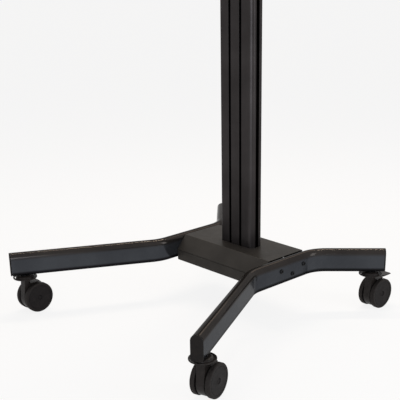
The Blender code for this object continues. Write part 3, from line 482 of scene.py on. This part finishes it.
def place_coordinates(material, scale=(1, 1, 1)):
    """The piece's own coordinates in metres, stretched by a scale."""
    coordinates = add_node(material, "ShaderNodeTexCoord")
    mapping = add_node(material, "ShaderNodeMapping", Scale=scale)
    wire(material, coordinates.outputs["Object"], mapping.inputs["Vector"])
    return mapping.outputs["Vector"]


def speckle(material, place, waves, detail, roughness=0.55):
    """Noise from 0 to 1 with a number of waves to the metre."""
    noise = add_node(material, "ShaderNodeTexNoise", Scale=waves, Detail=detail, Roughness=roughness)
    wire(material, place, noise.inputs["Vector"])
    return noise.outputs["Fac"]


def between(material, source, low, high, start=0.3, end=0.7):
    """Map noise to a range of values."""
    spread = add_node(material, "ShaderNodeMapRange")
    spread.inputs["From Min"].default_value = start
    spread.inputs["From Max"].default_value = end
    spread.inputs["To Min"].default_value = low
    spread.inputs["To Max"].default_value = high
    wire(material, source, spread.inputs["Value"])
    return spread.outputs["Result"]


def blend_colors(material, source, dark, light):
    ramp = add_node(material, "ShaderNodeValToRGB")
    for band, position, color in zip(ramp.color_ramp.elements, CLOUD_BAND, (dark, light)):
        band.position = position
        band.color = (*color, 1)
    wire(material, source, ramp.inputs["Fac"])
    return ramp.outputs["Color"]


def add_bump(material, shader, height, depth, strength=1.0, after=None):
    """Raise the surface by the height's waves, depth metres from trough to crest."""
    bump = add_node(material, "ShaderNodeBump", Strength=strength, Distance=depth)
    wire(material, height, bump.inputs["Height"])
    if after is not None:
        wire(material, after, bump.inputs["Normal"])
    wire(material, bump.outputs["Normal"], shader.inputs["Normal"])
    return bump.outputs["Normal"]


def subdue(shader, level, edge):
    """Hold back what a dark coat reflects of the white room, face on and at a glance."""
    shader.inputs["Specular IOR Level"].default_value = level
    shader.inputs["Specular Tint"].default_value = (edge, edge, edge, 1)


def powder_coat(name, dark, light, roughness, peel, metallic, edge):
    """Sprayed and baked metallic paint: cloudy colour, orange peel and fine grit."""
    material, shader = new_material(name, light, roughness[0], metallic)
    subdue(shader, level=0.03, edge=edge)
    place = place_coordinates(material)
    cloud = speckle(material, place, waves=9, detail=4)
    wire(material, blend_colors(material, cloud, dark, light), shader.inputs["Base Color"])
    smear = speckle(material, place, waves=55, detail=4)
    wire(material, between(material, smear, *roughness), shader.inputs["Roughness"])
    fine = speckle(material, place, waves=900, detail=2)
    coarse = speckle(material, place, waves=260, detail=2)
    grit = add_bump(material, shader, fine, peel * GRIT_SHARE)
    add_bump(material, shader, coarse, peel, after=grit)
    return material


def make_leg_finish():
    """Leg paint with painted shade by height: a dark painted line along the tube's foot and a darker, warmer
    painted shade over its arch.
    """
    material = powder_coat("leg_paint_with_painted_shade", dark=(0.041, 0.044, 0.050), light=(0.052, 0.056, 0.063),
                           roughness=(0.11, 0.16), peel=0.008 * MM, metallic=0.6, edge=0.5)
    shader = material.node_tree.nodes["Principled BSDF"]
    # Multiply the paint by the painted shade bands, which follow the height on the tube.
    height = add_node(material, "ShaderNodeSeparateXYZ")
    wire(material, place_coordinates(material), height.inputs["Vector"])
    share = between(material, height.outputs["Z"], 0, 1, LEG_BOTTOM, LEG_BOTTOM + LEG_HEIGHT)
    ramp = add_node(material, "ShaderNodeValToRGB")
    bands = ramp.color_ramp.elements
    bands[0].color = (*LEG_FOOT_PAINTED_SHADE, 1)
    bands[1].color = (*LEG_ARCH_PAINTED_SHADE, 1)
    for position, shade in LEG_PAINTED_SHADE_BANDS:
        bands.new(position).color = (*shade, 1)
    wire(material, share, ramp.inputs["Fac"])
    mix = add_node(material, "ShaderNodeMix", data_type="RGBA", blend_type="MULTIPLY")
    mix.inputs["Factor"].default_value = 1
    paint = shader.inputs["Base Color"].links[0].from_socket
    wire(material, paint, mix.inputs["A"])
    wire(material, ramp.outputs["Color"], mix.inputs["B"])
    wire(material, mix.outputs["Result"], shader.inputs["Base Color"])
    return material


def make_base_finish():
    return powder_coat("base_paint", dark=(0.038, 0.035, 0.032), light=(0.049, 0.045, 0.041),
                       roughness=(0.34, 0.42), peel=0.02 * MM, metallic=0.4, edge=0.55)


def make_mount_finish():
    return powder_coat("mount_paint", dark=(0.022, 0.022, 0.023), light=(0.032, 0.032, 0.033),
                       roughness=(0.42, 0.55), peel=0.05 * MM, metallic=0.3, edge=0.5)


def make_column_finish(name, dark, light):
    """Dark anodised extrusion with fine die lines along it."""
    material, shader = new_material(name, light, roughness=0.34, metallic=0.7)
    subdue(shader, level=0.03, edge=0.5)
    place = place_coordinates(material)
    cloud = speckle(material, place, waves=7, detail=3)
    color = blend_colors(material, cloud, dark, light)
    wire(material, color, shader.inputs["Base Color"])
    along = place_coordinates(material, scale=(1, 1, 0.004))
    lines = speckle(material, along, waves=1500, detail=2)
    wire(material, between(material, lines, low=0.28, high=0.42), shader.inputs["Roughness"])
    add_bump(material, shader, lines, depth=0.01 * MM, strength=0.6)
    return material


def moulded(name, dark, light, roughness, grain):
    """Moulded plastic with a fine spark-eroded grain."""
    material, shader = new_material(name, light, roughness[0])
    subdue(shader, level=0.12, edge=1.0)
    place = place_coordinates(material)
    cloud = speckle(material, place, waves=60, detail=4)
    wire(material, blend_colors(material, cloud, dark, light), shader.inputs["Base Color"])
    smear = speckle(material, place, waves=350, detail=3)
    wire(material, between(material, smear, *roughness), shader.inputs["Roughness"])
    add_bump(material, shader, speckle(material, place, waves=1600, detail=3), grain)
    return material


def make_steel():
    """Zinc-plated steel with turning marks."""
    material, shader = new_material("zinc", (0.42, 0.41, 0.39), roughness=0.3, metallic=1.0)
    place = place_coordinates(material, scale=(0.05, 0.05, 1))
    marks = speckle(material, place, waves=2500, detail=2)
    wire(material, between(material, marks, low=0.24, high=0.42), shader.inputs["Roughness"])
    cloud = speckle(material, place_coordinates(material), waves=120, detail=3)
    color = blend_colors(material, cloud, (0.30, 0.29, 0.27), (0.45, 0.44, 0.42))
    wire(material, color, shader.inputs["Base Color"])
    add_bump(material, shader, marks, depth=0.01 * MM, strength=0.5)
    return material


def make_fastener():
    """Blackened steel, mottled by its oil."""
    material, shader = new_material("black_oxide", (0.012, 0.012, 0.013), roughness=0.35, metallic=0.7)
    subdue(shader, level=0.2, edge=1.0)
    place = place_coordinates(material)
    cloud = speckle(material, place, waves=400, detail=3)
    color = blend_colors(material, cloud, (0.006, 0.006, 0.007), (0.015, 0.015, 0.016))
    wire(material, color, shader.inputs["Base Color"])
    wire(material, between(material, cloud, low=0.28, high=0.45), shader.inputs["Roughness"])
    add_bump(material, shader, speckle(material, place, waves=2200, detail=2), depth=0.008 * MM)
    return material


def make_tread():
    """Hard tyre rubber, dulled by rolling."""
    material, shader = new_material("tread", (0.03, 0.029, 0.029), roughness=0.62)
    subdue(shader, level=0.1, edge=1.0)
    place = place_coordinates(material)
    scuff = speckle(material, place, waves=140, detail=5, roughness=0.7)
    color = blend_colors(material, scuff, (0.013, 0.011, 0.010), (0.022, 0.019, 0.018))
    wire(material, color, shader.inputs["Base Color"])
    wire(material, between(material, scuff, low=0.52, high=0.78), shader.inputs["Roughness"])
    add_bump(material, shader, speckle(material, place, waves=1100, detail=3), depth=0.03 * MM)
    return material


MATERIALS = {
    "leg_finish": make_leg_finish(),
    "base_finish": make_base_finish(),
    "mount_finish": make_mount_finish(),
    "column_finish": make_column_finish("anodised", (0.031, 0.028, 0.028), (0.042, 0.038, 0.038)),
    # The slots' insides: the same anodised finish made near black, a painted shade in the recesses.
    "column_slot_painted_shade": make_column_finish("anodised_slot_painted_shade", (0.003, 0.003, 0.003), (0.006, 0.005, 0.005)),
    "cap_plastic": moulded("cap", dark=(0.005, 0.004, 0.004), light=(0.009, 0.007, 0.006),
                           roughness=(0.5, 0.62), grain=0.03 * MM),
    "caster_plastic": moulded("nylon", dark=(0.011, 0.009, 0.008), light=(0.017, 0.014, 0.013),
                              roughness=(0.34, 0.46), grain=0.015 * MM),
    "wheel_tread": make_tread(),
    "wheel_disc": moulded("disc", dark=(0.006, 0.005, 0.005), light=(0.010, 0.008, 0.008),
                          roughness=(0.5, 0.62), grain=0.02 * MM),
    "bare_steel": make_steel(),
    "fastener": make_fastener(),
}


# Legs

def leg_outline():
    half = LEG_WIDTH / 2
    spring = LEG_HEIGHT - LEG_WIDTH / 2
    corner = LEG_CORNER
    return (arc((half - corner, corner), corner, -90, 0, LEG_CORNER_STEPS)
            + arc((0, spring), half, 0, 180, LEG_ARCH_STEPS)
            + arc((corner - half, corner), corner, 180, 270, LEG_CORNER_STEPS))


def leg_tip(side, end):
    """A leg's end face and the way it points: end is -1 at the front, 1 at the rear."""
    tip, bend = (FRONT_TIP, FRONT_BEND_Y) if end < 0 else (REAR_TIP, REAR_BEND_Y)
    way = Vector((side * (tip[0] - LEG_MIDDLE_X), tip[1] - bend)).normalized()
    return Vector((side * tip[0], tip[1] + COLUMN_Y)), way


def sweep(name, route, outline, lift):
    """Sweep an upright outline along a level route and close both ends."""
    work = bmesh.new()
    rings = []
    last = len(route) - 1
    for index, spot in enumerate(route):
        back = (spot - route[index - 1]).normalized() if index else None
        ahead = (route[index + 1] - spot).normalized() if index < last else None
        way = ((back or ahead) + (ahead or back)).normalized()
        stretch = 1 / way.dot(ahead or back)
        across = Vector((way.y, -way.x)) * stretch
        rings.append([work.verts.new((spot.x + across.x * u, spot.y + across.y * u, lift + v))
                      for u, v in outline])
    count = len(outline)
    for first, second in zip(rings, rings[1:]):
        for i in range(count):
            j = (i + 1) % count
            work.faces.new((first[i], first[j], second[j], second[i]))
    work.faces.new(rings[0])
    work.faces.new(rings[-1])
    bmesh.ops.recalc_face_normals(work, faces=work.faces)
    mesh = bpy.data.meshes.new(name)
    work.to_mesh(mesh)
    work.free()
    return new_object(name, mesh)


def make_legs():
    paint = [MATERIALS["leg_finish"]]
    plastic = [MATERIALS["cap_plastic"]]
    for side, side_name in ((1, "right"), (-1, "left")):
        ends = []
        for end in (-1, 1):
            tip, way = leg_tip(side, end)
            ends.append(tip - way * (CAP_THICKNESS + GAP))
        corners = [ends[0], (side * LEG_MIDDLE_X, FRONT_BEND_Y + COLUMN_Y),
                   (side * LEG_MIDDLE_X, REAR_BEND_Y + COLUMN_Y), ends[1]]
        tube = sweep("leg", filleted(corners, BEND_RADIUS, BEND_STEPS), leg_outline(), LEG_BOTTOM)
        dress(smooth(tube), "leg_" + side_name, paint)
        for end, end_name in ((-1, "front"), (1, "rear")):
            tip, way = leg_tip(side, end)
            cap = prism("cap", [leg_outline()], -CAP_THICKNESS, 0)
            smooth(soften(cap, CAP_EDGE, segments=4))
            heading = Matrix.Rotation(atan2(way.y, way.x) + pi / 2, 4, "Z")
            upright = heading @ Matrix.Rotation(pi / 2, 4, "X")
            matrix = Matrix.Translation((tip.x, tip.y, LEG_BOTTOM)) @ upright
            dress(cap, "leg_cap_%s_%s" % (end_name, side_name), plastic, matrix)


# Fasteners

def make_bolt(length):
    """A button-head screw on Z with a hexagon socket, its head above Z = 0."""
    rise = BOLT_HEAD_HEIGHT
    dome = arc((BOLT_FLAT, rise - BOLT_DOME), BOLT_DOME, 90, BOLT_DOME_END, 8)
    rim = [(BOLT_HEAD_RADIUS - inset, height) for inset, height in BOLT_RIM]
    shank = [(BOLT_RADIUS, 0), (BOLT_RADIUS, -length), (0, -length)]
    bolt = turned("bolt", [(0, rise)] + dome + rim + shank, BOLT_STEPS)
    hexagon = circle((0, 0), BOLT_SOCKET_RADIUS, 6)
    socket = prism("socket", [hexagon], rise - BOLT_SOCKET_DEPTH, rise + OVERLAP)
    return smooth(boolean(bolt, socket, "DIFFERENCE"))


def make_bolts():
    """Fine screws in the places of the frame's plain ones."""
    facing = {"right": Matrix.Rotation(pi / 2, 4, "Y"), "left": Matrix.Rotation(-pi / 2, 4, "Y"),
              "front": Matrix.Rotation(pi / 2, 4, "X")}
    steel = [MATERIALS["fastener"]]
    for node in sorted(frame["nodes"]):
        if "_bolt_" not in node:
            continue
        low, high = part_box(node)
        middle = (low + high) / 2
        if node.startswith("leg_bolt"):
            way = "right" if middle.x > 0 else "left"
            length = (high.x - low.x) - BOLT_HEAD_HEIGHT
            seat = high.x - BOLT_HEAD_HEIGHT if middle.x > 0 else low.x + BOLT_HEAD_HEIGHT
            spot = Vector((seat, middle.y, middle.z))
        else:
            way = "front"
            length = (high.y - low.y) - BOLT_HEAD_HEIGHT
            spot = Vector((middle.x, low.y + BOLT_HEAD_HEIGHT, middle.z))
        dress(make_bolt(length), node, steel, Matrix.Translation(spot) @ facing[way])


# Base

def to_column(piece):
    """Shift a piece drawn about the column's foot to its place."""
    piece.data.transform(Matrix.Translation((0, COLUMN_Y, 0)))
    return piece


def make_base():
    paint = [MATERIALS["base_finish"]]
    points = [(BASE_FRONT, BASE_LEDGE), (BASE_TOP_FRONT, BASE_TOP), (BASE_REAR, BASE_TOP),
              (BASE_REAR, BASE_LEDGE - COVER_SHEET)]
    cover = folded_sheet("cover", points, COVER_SHEET, BASE_HALF, COVER_FOLD)
    opening = rounded_rectangle(COLUMN_WIDTH / 2 + GAP, COLUMN_DEPTH / 2 + GAP, COLUMN_CORNER)
    cutter = prism("opening", [opening], BASE_TOP - CUTTER_REACH, BASE_TOP + CUTTER_REACH)
    boolean(cover, cutter, "DIFFERENCE")
    smooth(soften(cover, COVER_EDGE, segments=2, angle=50))
    dress(to_column(cover), "base_cover", paint)
    front = BASE_FRONT + FASCIA_STEP
    rear = BASE_REAR - FASCIA_STEP
    top = BASE_LEDGE - COVER_SHEET - GAP
    points = [(front, top), (front, BASE_BOTTOM), (rear, BASE_BOTTOM), (rear, top)]
    chassis = folded_sheet("chassis", points, CHASSIS_SHEET, BASE_HALF, CHASSIS_FOLD)
    smooth(soften(chassis, CHASSIS_EDGE, segments=2, angle=50))
    dress(to_column(chassis), "base_chassis", paint)


# Column

def walk_column(half_width, half_depth, corner, notches):
    """Go round a rounded rectangle, with a notch drawn into each face."""
    outline = []
    faces = ((Vector((1, 0)), half_depth, half_width), (Vector((0, 1)), half_width, half_depth),
             (Vector((-1, 0)), half_depth, half_width), (Vector((0, -1)), half_width, half_depth))
    for index, (ahead, out, reach) in enumerate(faces):
        inward = Vector((-ahead.y, ahead.x))
        for offset, shape in notches[index % 2]:
            for along, depth in shape:
                outline.append(tuple(ahead * (offset + along) + inward * (depth - out)))
        turn = ahead * (reach - corner) + inward * (corner - out)
        start = -90 + 90 * index
        outline += arc(turn, corner, start, start + 90, 16)
    return outline


def slot_notch(mouth):
    lip = mouth / 2
    side = SLOT_CHANNEL / 2
    floor = SLOT_LIP + SLOT_DEPTH
    return ((-lip, 0), (-lip, SLOT_LIP), (-side, SLOT_LIP), (-side, floor),
            (side, floor), (side, SLOT_LIP), (lip, SLOT_LIP), (lip, 0))


def wall_notch():
    side = SLOT_CHANNEL / 2 + SLOT_WALL
    floor = SLOT_LIP + SLOT_DEPTH + SLOT_WALL - COLUMN_WALL
    return ((-side, 0), (-side, floor), (side, floor), (side, 0))


def column_depth(x, y):
    """How deep a point lies under the column's rounded outline."""
    across = abs(x) - COLUMN_WIDTH / 2 + COLUMN_CORNER
    along = abs(y) - COLUMN_DEPTH / 2 + COLUMN_CORNER
    if min(across, along) > 0:
        return COLUMN_CORNER - Vector((across, along)).length
    return COLUMN_CORNER - max(across, along)


def make_column():
    low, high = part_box("column")
    front = slot_notch(SLOT_MOUTH)
    wall = wall_notch()
    slots = (((-SLOT_OFFSET, front), (SLOT_OFFSET, front)), ((0, slot_notch(SIDE_SLOT_MOUTH)),))
    walls = (((-SLOT_OFFSET, wall), (SLOT_OFFSET, wall)), ((0, wall),))
    outer = walk_column(COLUMN_WIDTH / 2, COLUMN_DEPTH / 2, COLUMN_CORNER, slots)
    inner = walk_column(COLUMN_WIDTH / 2 - COLUMN_WALL, COLUMN_DEPTH / 2 - COLUMN_WALL,
                        COLUMN_CORNER - COLUMN_WALL, walls)
    column = prism("column", (outer, inner), low.z, high.z)
    smooth(soften(column, COLUMN_EDGE))
    # Faces deeper in the slots than the depth above take the near-black painted shade.
    for face in column.data.polygons:
        face.material_index = int(column_depth(face.center.x, face.center.y) > SLOT_PAINTED_SHADE_DEPTH)
    dress(to_column(column), "column", [MATERIALS["column_finish"], MATERIALS["column_slot_painted_shade"]])
    make_column_cap()


def make_column_cap():
    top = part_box("column_cap")[1].z
    outline = rounded_rectangle(COLUMN_WIDTH / 2, COLUMN_DEPTH / 2, COLUMN_CORNER, 16)
    cap = prism("cap", [outline], top - TOP_CAP, top)
    smooth(soften(cap, TOP_CAP_EDGE, segments=4))
    dress(to_column(cap), "column_cap", [MATERIALS["cap_plastic"]])


# Casters, each drawn about the floor under its stem, trailing along Y

def caster_matrix(corner):
    """Where a caster stands: X runs along its axle and Y the way it trails."""
    swivel = JOINTS["swivel_" + corner]["pos_m"]
    across = Vector(JOINTS["roll_%s_right" % corner]["axis"])
    trail = Vector((-across.y, across.x, 0))
    matrix = Matrix((across, trail, Vector((0, 0, 1)))).transposed().to_4x4()
    return Matrix.Translation((swivel[0], swivel[1], 0)) @ matrix


def wheel_profile():
    """Half of a wheel's section, from the middle of its outer face round to the bore."""
    out = WHEEL_OUTER
    rim = WHEEL_RADIUS
    step_dip, step_round = HUB_STEP
    lip_reach, lip_dip, lip_round = HUB_LIP
    groove_reach, groove_dip, groove_round = DISC_GROOVE
    crest_inset, crest_round = RIM_CREST
    bore_radius, bore_length = WHEEL_BORE
    bore_end = WHEEL_INNER + bore_length
    return ([(0, out - HUB_DIP), (HUB_RADIUS, out - HUB_DIP)]
            + arc((HUB_RADIUS, out - step_dip), step_round, -90, 0, 4)
            + arc((lip_reach, out - lip_dip), lip_round, 180, 90, 4)
            + [(reach, out - dip) for reach, dip in DISC_LINE]
            + arc((groove_reach, out - groove_dip), groove_round, 180, 360, 6)
            + arc((rim - crest_inset, out - crest_round), crest_round, 110, 70, 3)
            + arc((rim - RIM_ROUND, out - RIM_ROUND), RIM_ROUND, 75, 0, 8)
            + [(rim, WHEEL_INNER + TREAD_END)]
            + arc((rim - TREAD_ROUND, WHEEL_INNER + TREAD_ROUND), TREAD_ROUND, 0, -90, 6)
            + [(bore_radius, WHEEL_INNER), (bore_radius, bore_end), (0, bore_end)])


def make_wheel():
    """A wheel on Z in two materials: tread first, then the disc inside it."""
    wheel = turned("wheel", wheel_profile(), WHEEL_STEPS)
    for face in wheel.data.polygons:
        face.material_index = int(face.center.xy.length < WHEEL_RADIUS - DISC_INSET)
    return smooth(wheel, angle=28)


def ring_window(start, end):
    return (arc((0, 0), RING_INNER + GAP, start, end, 16)
            + arc((0, 0), DOME_RADIUS - OVERLAP, end, start, 8))


def make_fin():
    """The plate between the wheels, which carries the neck."""
    under = LEDGE_TOP - LEDGE[1] + OVERLAP
    step = LEDGE_REAR - FIN_STEP
    leave = degrees(acos((step - TRAIL) / HOOD_RADIUS))
    outline = ([(-NECK_HALF, NECK_TOP)] + arc((TRAIL, AXLE_Z), HOOD_RADIUS, 180, 360 + leave, 72)
               + [(step, under), (NECK_HALF, under), (NECK_HALF, NECK_TOP)])
    return soften(prism("hood", [outline], -HOOD_HALF, HOOD_HALF, "X"), HOOD_EDGE)


def make_dome():
    shoulder = DOME_RADIUS - DOME_ROUND
    skirt_rise, skirt_round = DOME_SKIRT
    foot = NECK_TOP - NECK_OVERLAP
    profile = ([(0, DOME_TOP), (shoulder, DOME_TOP)]
               + arc((shoulder, DOME_TOP - DOME_ROUND), DOME_ROUND, 90, 0, 10)
               + arc((DOME_RADIUS - skirt_round, NECK_TOP + skirt_rise), skirt_round, 0, -60, 5)
               + [(NECK_HALF - OVERLAP, foot), (0, foot)])
    return turned("dome", profile)


def make_ring():
    """The rim round the dome, with a floor that is open in its windows."""
    low = RING_TOP - RING_THICKNESS
    rim = [circle((0, 0), radius, RING_STEPS) for radius in (RING_RADIUS, RING_INNER)]
    ring = soften(prism("ring", rim, low, RING_TOP), RING_EDGE)
    floor = [circle((0, 0), RING_INNER + OVERLAP, RING_STEPS)]
    floor += [ring_window(*span) for span in RING_WINDOWS]
    return boolean(ring, prism("floor", floor, low + GAP, low + RING_FLOOR), "UNION")


def make_ledge():
    width, thickness = LEDGE
    middle = (LEDGE_REAR + LEDGE_FRONT) / 2
    corners = rounded_rectangle(width / 2, (LEDGE_REAR - LEDGE_FRONT) / 2, LEDGE_CORNER)
    outline = [(across, along + middle) for across, along in corners]
    return soften(prism("ledge", [outline], LEDGE_TOP - thickness, LEDGE_TOP), LEDGE_EDGE)


def ear_outline():
    """The plate that holds one end of the brake pedal's pivot."""
    y, z = PEDAL_PIVOT
    root = LEDGE_REAR - FIN_STEP - EAR_ROOT
    return ([(root, z - EAR_DROP), (LEDGE_REAR, z - EAR_DROP)]
            + arc((y, z), BARREL_RADIUS, -60, 90, 16) + [(root, z + BARREL_RADIUS)])


def make_hood(braked):
    """The swivelling body: a fin between the wheels, a neck, a dome, a ring and a ledge."""
    hood = make_fin()
    for make_form in (make_dome, make_ring, make_ledge):
        boolean(hood, make_form(), "UNION")
    if braked:
        for side in (1, -1):
            edges = sorted((side * EAR_INNER, side * EAR_OUTER))
            boolean(hood, prism("ear", [ear_outline()], *edges, "X"), "UNION", "MANIFOLD")
    return smooth(hood, angle=30)


def make_pedal():
    """The brake lever, drawn with the brake off and its pivot at the origin."""
    y, z = PEDAL_PIVOT
    front = LEDGE_REAR + PEDAL_CLEARANCE - y
    reach = PEDAL_REACH - y
    low = PEDAL_LOW - z
    blade = [(front, low), (reach, low), (reach, PEDAL_TIP_TOP - z), (front, PEDAL_ROOT_TOP - z)]
    pedal = prism("pedal", [blade], -WHEEL_RADIUS, WHEEL_RADIUS, "X")
    middle = (reach + front) / 2
    corners = rounded_rectangle(PEDAL_HALF, (reach - front) / 2, PEDAL_CORNER)
    plan = [(across, along + middle) for across, along in corners]
    boolean(pedal, prism("plan", [plan], -WHEEL_RADIUS, WHEEL_RADIUS), "INTERSECT")
    soften(pedal, PEDAL_EDGE, angle=40)
    web = rectangle(-WEB_HALF, WEB_HALF, 0, low + OVERLAP)
    barrel = circle((0, 0), BARREL_RADIUS, 32)
    pivot = circle((0, 0), PIVOT_RADIUS, 20)
    for name, outline, half in (("web", web, PEDAL_NECK - WEB_INSET), ("barrel", barrel, PEDAL_NECK),
                                ("pivot", pivot, HOOD_HALF - GAP)):
        boolean(pedal, prism(name, [outline], -half, half, "X"), "UNION")
    return smooth(pedal, angle=35)


def make_stem():
    """The thread that goes up into the leg, the collar and the pin that the hood turns on."""
    top = LEG_BOTTOM - GAP
    low = DOME_TOP + GAP
    thread = [(0, STEM_TOP), (STEM_THREAD, STEM_TOP), (STEM_THREAD, top)]
    collar = [(STEM_COLLAR - STEM_EDGE, top), (STEM_COLLAR, top - STEM_EDGE),
              (STEM_COLLAR, low + STEM_EDGE), (STEM_COLLAR - STEM_EDGE, low)]
    pin = [(STEM_PIN, low), (STEM_PIN, low - STEM_PIN_LENGTH), (0, low - STEM_PIN_LENGTH)]
    return smooth(turned("stem", thread + collar + pin))


def make_casters():
    wheel = make_wheel()
    plain_hood = make_hood(False)
    braked_hood = make_hood(True)
    pedal = make_pedal()
    stem = make_stem()
    plastic = [MATERIALS["caster_plastic"]]
    for corner in CORNERS:
        stand = caster_matrix(corner)
        braked = corner in BRAKED
        dress(copy_of(stem), "caster_stem_" + corner, [MATERIALS["fastener"]], stand)
        dress(copy_of(braked_hood if braked else plain_hood), "caster_hood_" + corner, plastic, stand)
        axle = stand @ Matrix.Translation((0, TRAIL, AXLE_Z))
        for sign, side in ((1, "right"), (-1, "left")):
            matrix = axle @ Matrix.Rotation(sign * pi / 2, 4, "Y")
            dress(copy_of(wheel), "wheel_%s_%s" % (corner, side),
                  [MATERIALS["wheel_tread"], MATERIALS["wheel_disc"]], matrix)
        if braked:
            pivot = stand @ Matrix.Translation((0, *PEDAL_PIVOT))
            dress(copy_of(pedal), "brake_pedal_" + corner, plastic, pivot)
    for master in (wheel, plain_hood, braked_hood, pedal, stem):
        bpy.data.objects.remove(master)


# Screen mount

def refined(node, width):
    """The frame's own shape with its edges rounded."""
    piece = new_object(node, frame["nodes"][node].data.copy())
    clean(piece.data)
    smooth(soften(piece, width, segments=2, angle=40))
    return dress(piece, node, [MATERIALS[SLOT_OF[node]]])


def knob_outline():
    steps = KNOB_LOBES * KNOB_LOBE_STEPS
    angles = [2 * pi * step / steps for step in range(steps)]
    reach = [KNOB_RADIUS * (KNOB_MEAN + KNOB_WAVE * cos(KNOB_LOBES * angle)) for angle in angles]
    return [(r * cos(angle), r * sin(angle)) for r, angle in zip(reach, angles)]


def make_knobs():
    """Lobed grips on the ends of the tilt pin."""
    for sign, side in ((1, "right"), (-1, "left")):
        node = "tilt_knob_" + side
        low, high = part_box(node)
        outer = high.x if sign > 0 else -low.x
        inner = low.x if sign > 0 else -high.x
        edges = sorted((sign * (outer - KNOB_WIDTH), sign * outer))
        knob = prism("knob", [knob_outline()], *edges, "X")
        soften(knob, KNOB_EDGE, segments=4)
        edges = sorted((sign * inner, sign * (outer - KNOB_COLLAR_END)))
        collar = circle((0, 0), KNOB_COLLAR_RADIUS, 48)
        boolean(knob, prism("collar", [collar], *edges, "X"), "UNION")
        knob.data.transform(Matrix.Translation((0, COLUMN_Y + TILT_Y, MOUNT_Z)))
        dress(smooth(knob), node, [MATERIALS["cap_plastic"]])


def make_mount():
    for node, width in MOUNT_EDGES.items():
        refined(node, width)
    make_knobs()


def dress_hidden_nodes():
    """The frame's own solids that stay, deep inside the casters and the base."""
    for node, piece in frame["nodes"].items():
        if piece.hide_render:
            continue
        piece.data.materials.clear()
        piece.data.materials.append(MATERIALS[SLOT_OF[node]])


# Stage

def make_camera():
    data = bpy.data.cameras.new("camera")
    data.sensor_width = SENSOR
    data.lens = FOCAL_PIXELS / PICTURE * SENSOR
    data.shift_x = (PICTURE / 2 - PICTURE_CENTRE[0]) / PICTURE
    data.shift_y = (PICTURE_CENTRE[1] - PICTURE / 2) / PICTURE
    camera = link(bpy.data.objects.new("camera", data))
    azimuth = radians(CAMERA_AZIMUTH)
    elevation = radians(CAMERA_ELEVATION)
    back = Vector((sin(azimuth) * cos(elevation), -cos(azimuth) * cos(elevation), sin(elevation)))
    camera.location = CAMERA_TARGET + back * CAMERA_DISTANCE
    turn = back.to_track_quat("Z", "Y").to_matrix().to_4x4()
    camera.rotation_euler = (turn @ Matrix.Rotation(radians(CAMERA_ROLL), 4, "Z")).to_euler()
    bpy.context.scene.camera = camera


def backdrop_share(nodes, links):
    """1 for a ray from the camera, a reflection or a refraction, 0 for light."""
    path = nodes.new("ShaderNodeLightPath")
    total = path.outputs["Is Camera Ray"]
    for name in ("Is Glossy Ray", "Is Transmission Ray"):
        add = nodes.new("ShaderNodeMath")
        add.operation = "MAXIMUM"
        links.new(total, add.inputs[0])
        links.new(path.outputs[name], add.inputs[1])
        total = add.outputs[0]
    return total


def make_floor():
    mesh = bpy.data.meshes.new("floor")
    corners = rectangle(-FLOOR_HALF, FLOOR_HALF, -FLOOR_HALF, FLOOR_HALF)
    mesh.from_pydata([(x, y, 0) for x, y in corners], [], [(0, 1, 2, 3)])
    floor = new_object("floor", mesh)
    material = bpy.data.materials.new("floor")
    material.use_nodes = True
    nodes = material.node_tree.nodes
    links = material.node_tree.links
    shader = nodes["Principled BSDF"]
    shader.inputs["Base Color"].default_value = (*FLOOR_COLOR, 1)
    shader.inputs["Roughness"].default_value = FLOOR_ROUGHNESS
    shader.inputs["Specular IOR Level"].default_value = FLOOR_SHINE
    glow = nodes.new("ShaderNodeEmission")
    glow.inputs["Color"].default_value = (*WHITE, 1)
    share = nodes.new("ShaderNodeMath")
    share.operation = "MULTIPLY"
    share.inputs[1].default_value = FLOOR_GLOW
    links.new(backdrop_share(nodes, links), share.inputs[0])
    mix = nodes.new("ShaderNodeMixShader")
    links.new(share.outputs[0], mix.inputs["Fac"])
    links.new(shader.outputs["BSDF"], mix.inputs[1])
    links.new(glow.outputs["Emission"], mix.inputs[2])
    links.new(mix.outputs["Shader"], nodes["Material Output"].inputs["Surface"])
    floor.data.materials.append(material)


def make_world():
    world = bpy.data.worlds.new("studio")
    bpy.context.scene.world = world
    world.use_nodes = True
    nodes = world.node_tree.nodes
    links = world.node_tree.links
    background = nodes["Background"]
    background.inputs["Color"].default_value = (*WORLD_COLOR, 1)
    background.inputs["Strength"].default_value = WORLD_STRENGTH
    white = nodes.new("ShaderNodeBackground")
    white.inputs["Color"].default_value = (*WHITE, 1)
    white.inputs["Strength"].default_value = 1.0
    mix = nodes.new("ShaderNodeMixShader")
    links.new(backdrop_share(nodes, links), mix.inputs["Fac"])
    links.new(background.outputs["Background"], mix.inputs[1])
    links.new(white.outputs["Background"], mix.inputs[2])
    links.new(mix.outputs["Shader"], nodes["World Output"].inputs["Surface"])


def add_lamp(name, azimuth, elevation, distance, size, watts, color):
    """A rectangular lamp aimed at the lower half of the stand."""
    data = bpy.data.lights.new(name, "AREA")
    data.shape = "RECTANGLE"
    data.size, data.size_y = size
    data.energy = watts
    data.color = color
    lamp = link(bpy.data.objects.new(name, data))
    turn = radians(azimuth)
    rise = radians(elevation)
    away = Vector((sin(turn) * cos(rise), -cos(turn) * cos(rise), sin(rise)))
    lamp.location = LAMP_TARGET + away * distance
    lamp.rotation_euler = away.to_track_quat("Z", "Y").to_euler()


def make_lights():
    for name, setting in LAMPS.items():
        add_lamp(name, *setting)


make_camera()
make_world()
make_lights()
make_floor()
make_legs()
make_bolts()
make_base()
make_column()
make_casters()
make_mount()
dress_hidden_nodes()
bpy.context.scene.view_settings.view_transform = "Standard"
